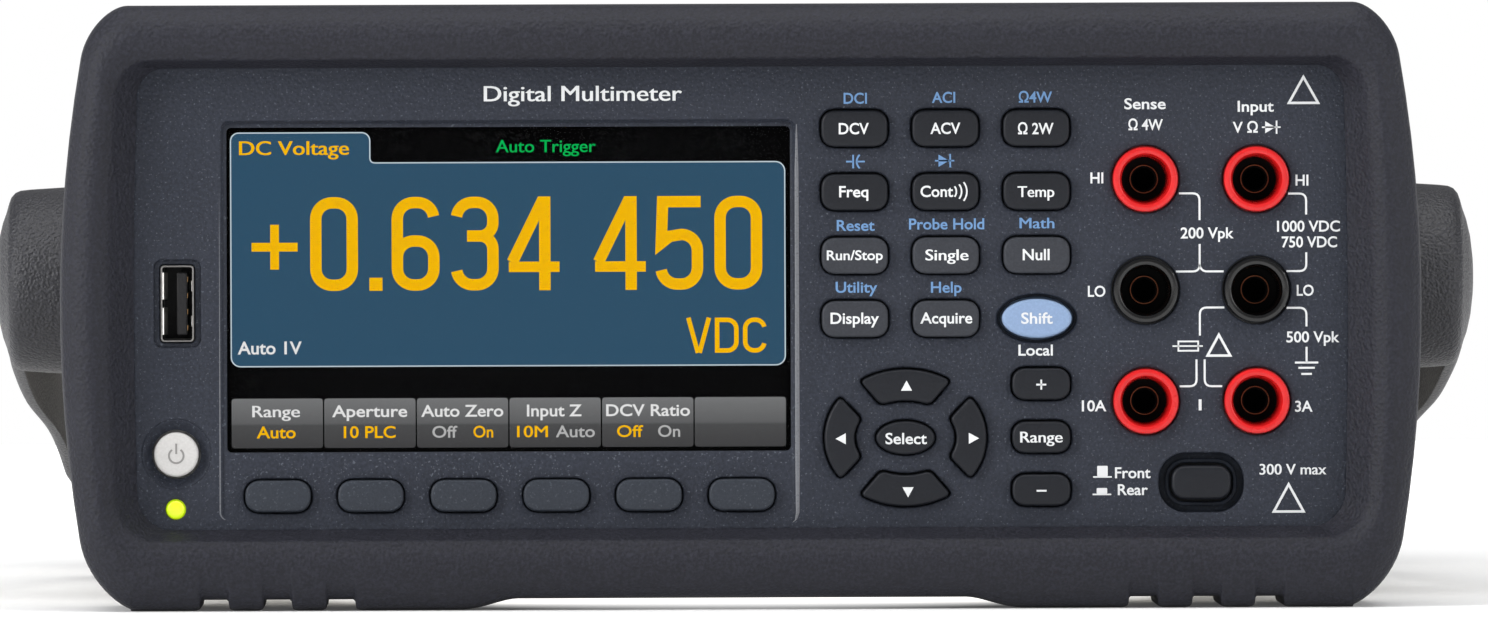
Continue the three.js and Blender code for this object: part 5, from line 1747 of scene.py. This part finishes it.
# the rest of the frame keeps its shape and takes its finish here
nodeFinish = {
    "case_cover": "steelPaint", "chassis_tray": "zinc", "rear_panel": "rearPaint", "front_board": "board",
    "main_board": "board", "power_transformer": "core", "mains_inlet": "blackPlastic",
    "mains_fuse_drawer": "blackPlastic", "fan_frame": "blackPlastic", "fan_rotor": "blackPlastic",
    "rear_terminal_block": "black", "current_fuse_holder": "blackPlastic", "current_fuse_cap": "blackPlastic",
    "trigger_bnc": "nickel", "output_bnc": "nickel", "data_port_stack": "nickel",
    "handle_pivot_left": "blackPlastic", "handle_pivot_right": "blackPlastic",
    "display_module": "blackPlastic",
}
for node, finish in nodeFinish.items():
    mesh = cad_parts[node].data
    mesh.materials.clear()
    mesh.materials.append(finishes[finish])


# set
def makeSet():
    mesh = bpy.data.meshes.new("floor")
    rim = [(1.3 * math.cos(math.radians(a)), 1.3 * math.sin(math.radians(a)), 0.0) for a in range(0, 360, 5)]
    mesh.from_pydata(rim, [], [tuple(range(len(rim)))])
    floor = bpy.data.objects.new("floor", mesh)
    bpy.context.scene.collection.objects.link(floor)

    def paint(tree, point):
        # the floor glows with painted light: its emission rises away from the instrument, so it runs into the
        # backdrop, and a painted light fills its shadow under the instrument
        far = tree.ramp(tree.node("ShaderNodeVectorMath", {"operation": "LENGTH"}, {0: point}, output=1),
                        0.16, 0.75)
        narrow = tree.node("ShaderNodeVectorMath", {"operation": "MULTIPLY"}, {0: point, 1: (1.5, 1.0, 1.0)})
        # painted light: full glow in an oval under the instrument, where its shadow falls
        paintedShadowFill = 1 - tree.ramp(tree.node("ShaderNodeVectorMath", {"operation": "LENGTH"}, {0: narrow},
                                        output=1), 0.12, 0.15)
        glow = tree.mixColour(far, (0.06, 0.06, 0.06, 1), (0.65, 0.65, 0.65, 1))
        return {"Base Color": tree.mixColour(tree.noise(point, 3.0), (0.9, 0.9, 0.9, 1),
                                             (0.94, 0.94, 0.94, 1)),
                "Emission Color": tree.mixColour(paintedShadowFill, glow, (0.8, 0.8, 0.8, 1))}
    mesh.materials.append(finishMaterial("floorPaint", (0.88, 0.88, 0.88), 0.6, {"Emission Strength": 1.0},
                                         paint))
    world = bpy.data.worlds.new("studio")
    bpy.context.scene.world = world
    world.use_nodes = True
    # a pale band round the horizon under a dimmer sky
    tree = NodeTree(world.node_tree)
    direction = tree.node("ShaderNodeTexCoord", output="Generated")
    height = tree.node("ShaderNodeSeparateXYZ", None, {"Vector": direction}, output="Z")
    strength = view["horizon"] - tree.ramp(height, 0.04, 0.2) * (view["horizon"] - view["sky"])
    backdrop = world.node_tree.nodes["Background"]
    backdrop.inputs["Color"].default_value = (1.0, 1.0, 1.0, 1)
    world.node_tree.links.new(strength.socket, backdrop.inputs["Strength"])
    makeLight("softboxTop", (0.0, -0.35, 1.3), (0, 0, 0.05), (1.6, 1.2), view["softboxTop"])
    makeLight("softboxLeft", (-1.6, -1.0, 0.7), (0, 0, 0.05), (0.8, 0.9), view["softboxLeft"])
    makeLight("softboxRight", (1.3, -1.0, 0.6), (0, 0, 0.05), (0.7, 0.9), view["softboxRight"])
    bpy.context.scene.view_settings.view_transform = "Standard"


makeCamera()
makeSet()
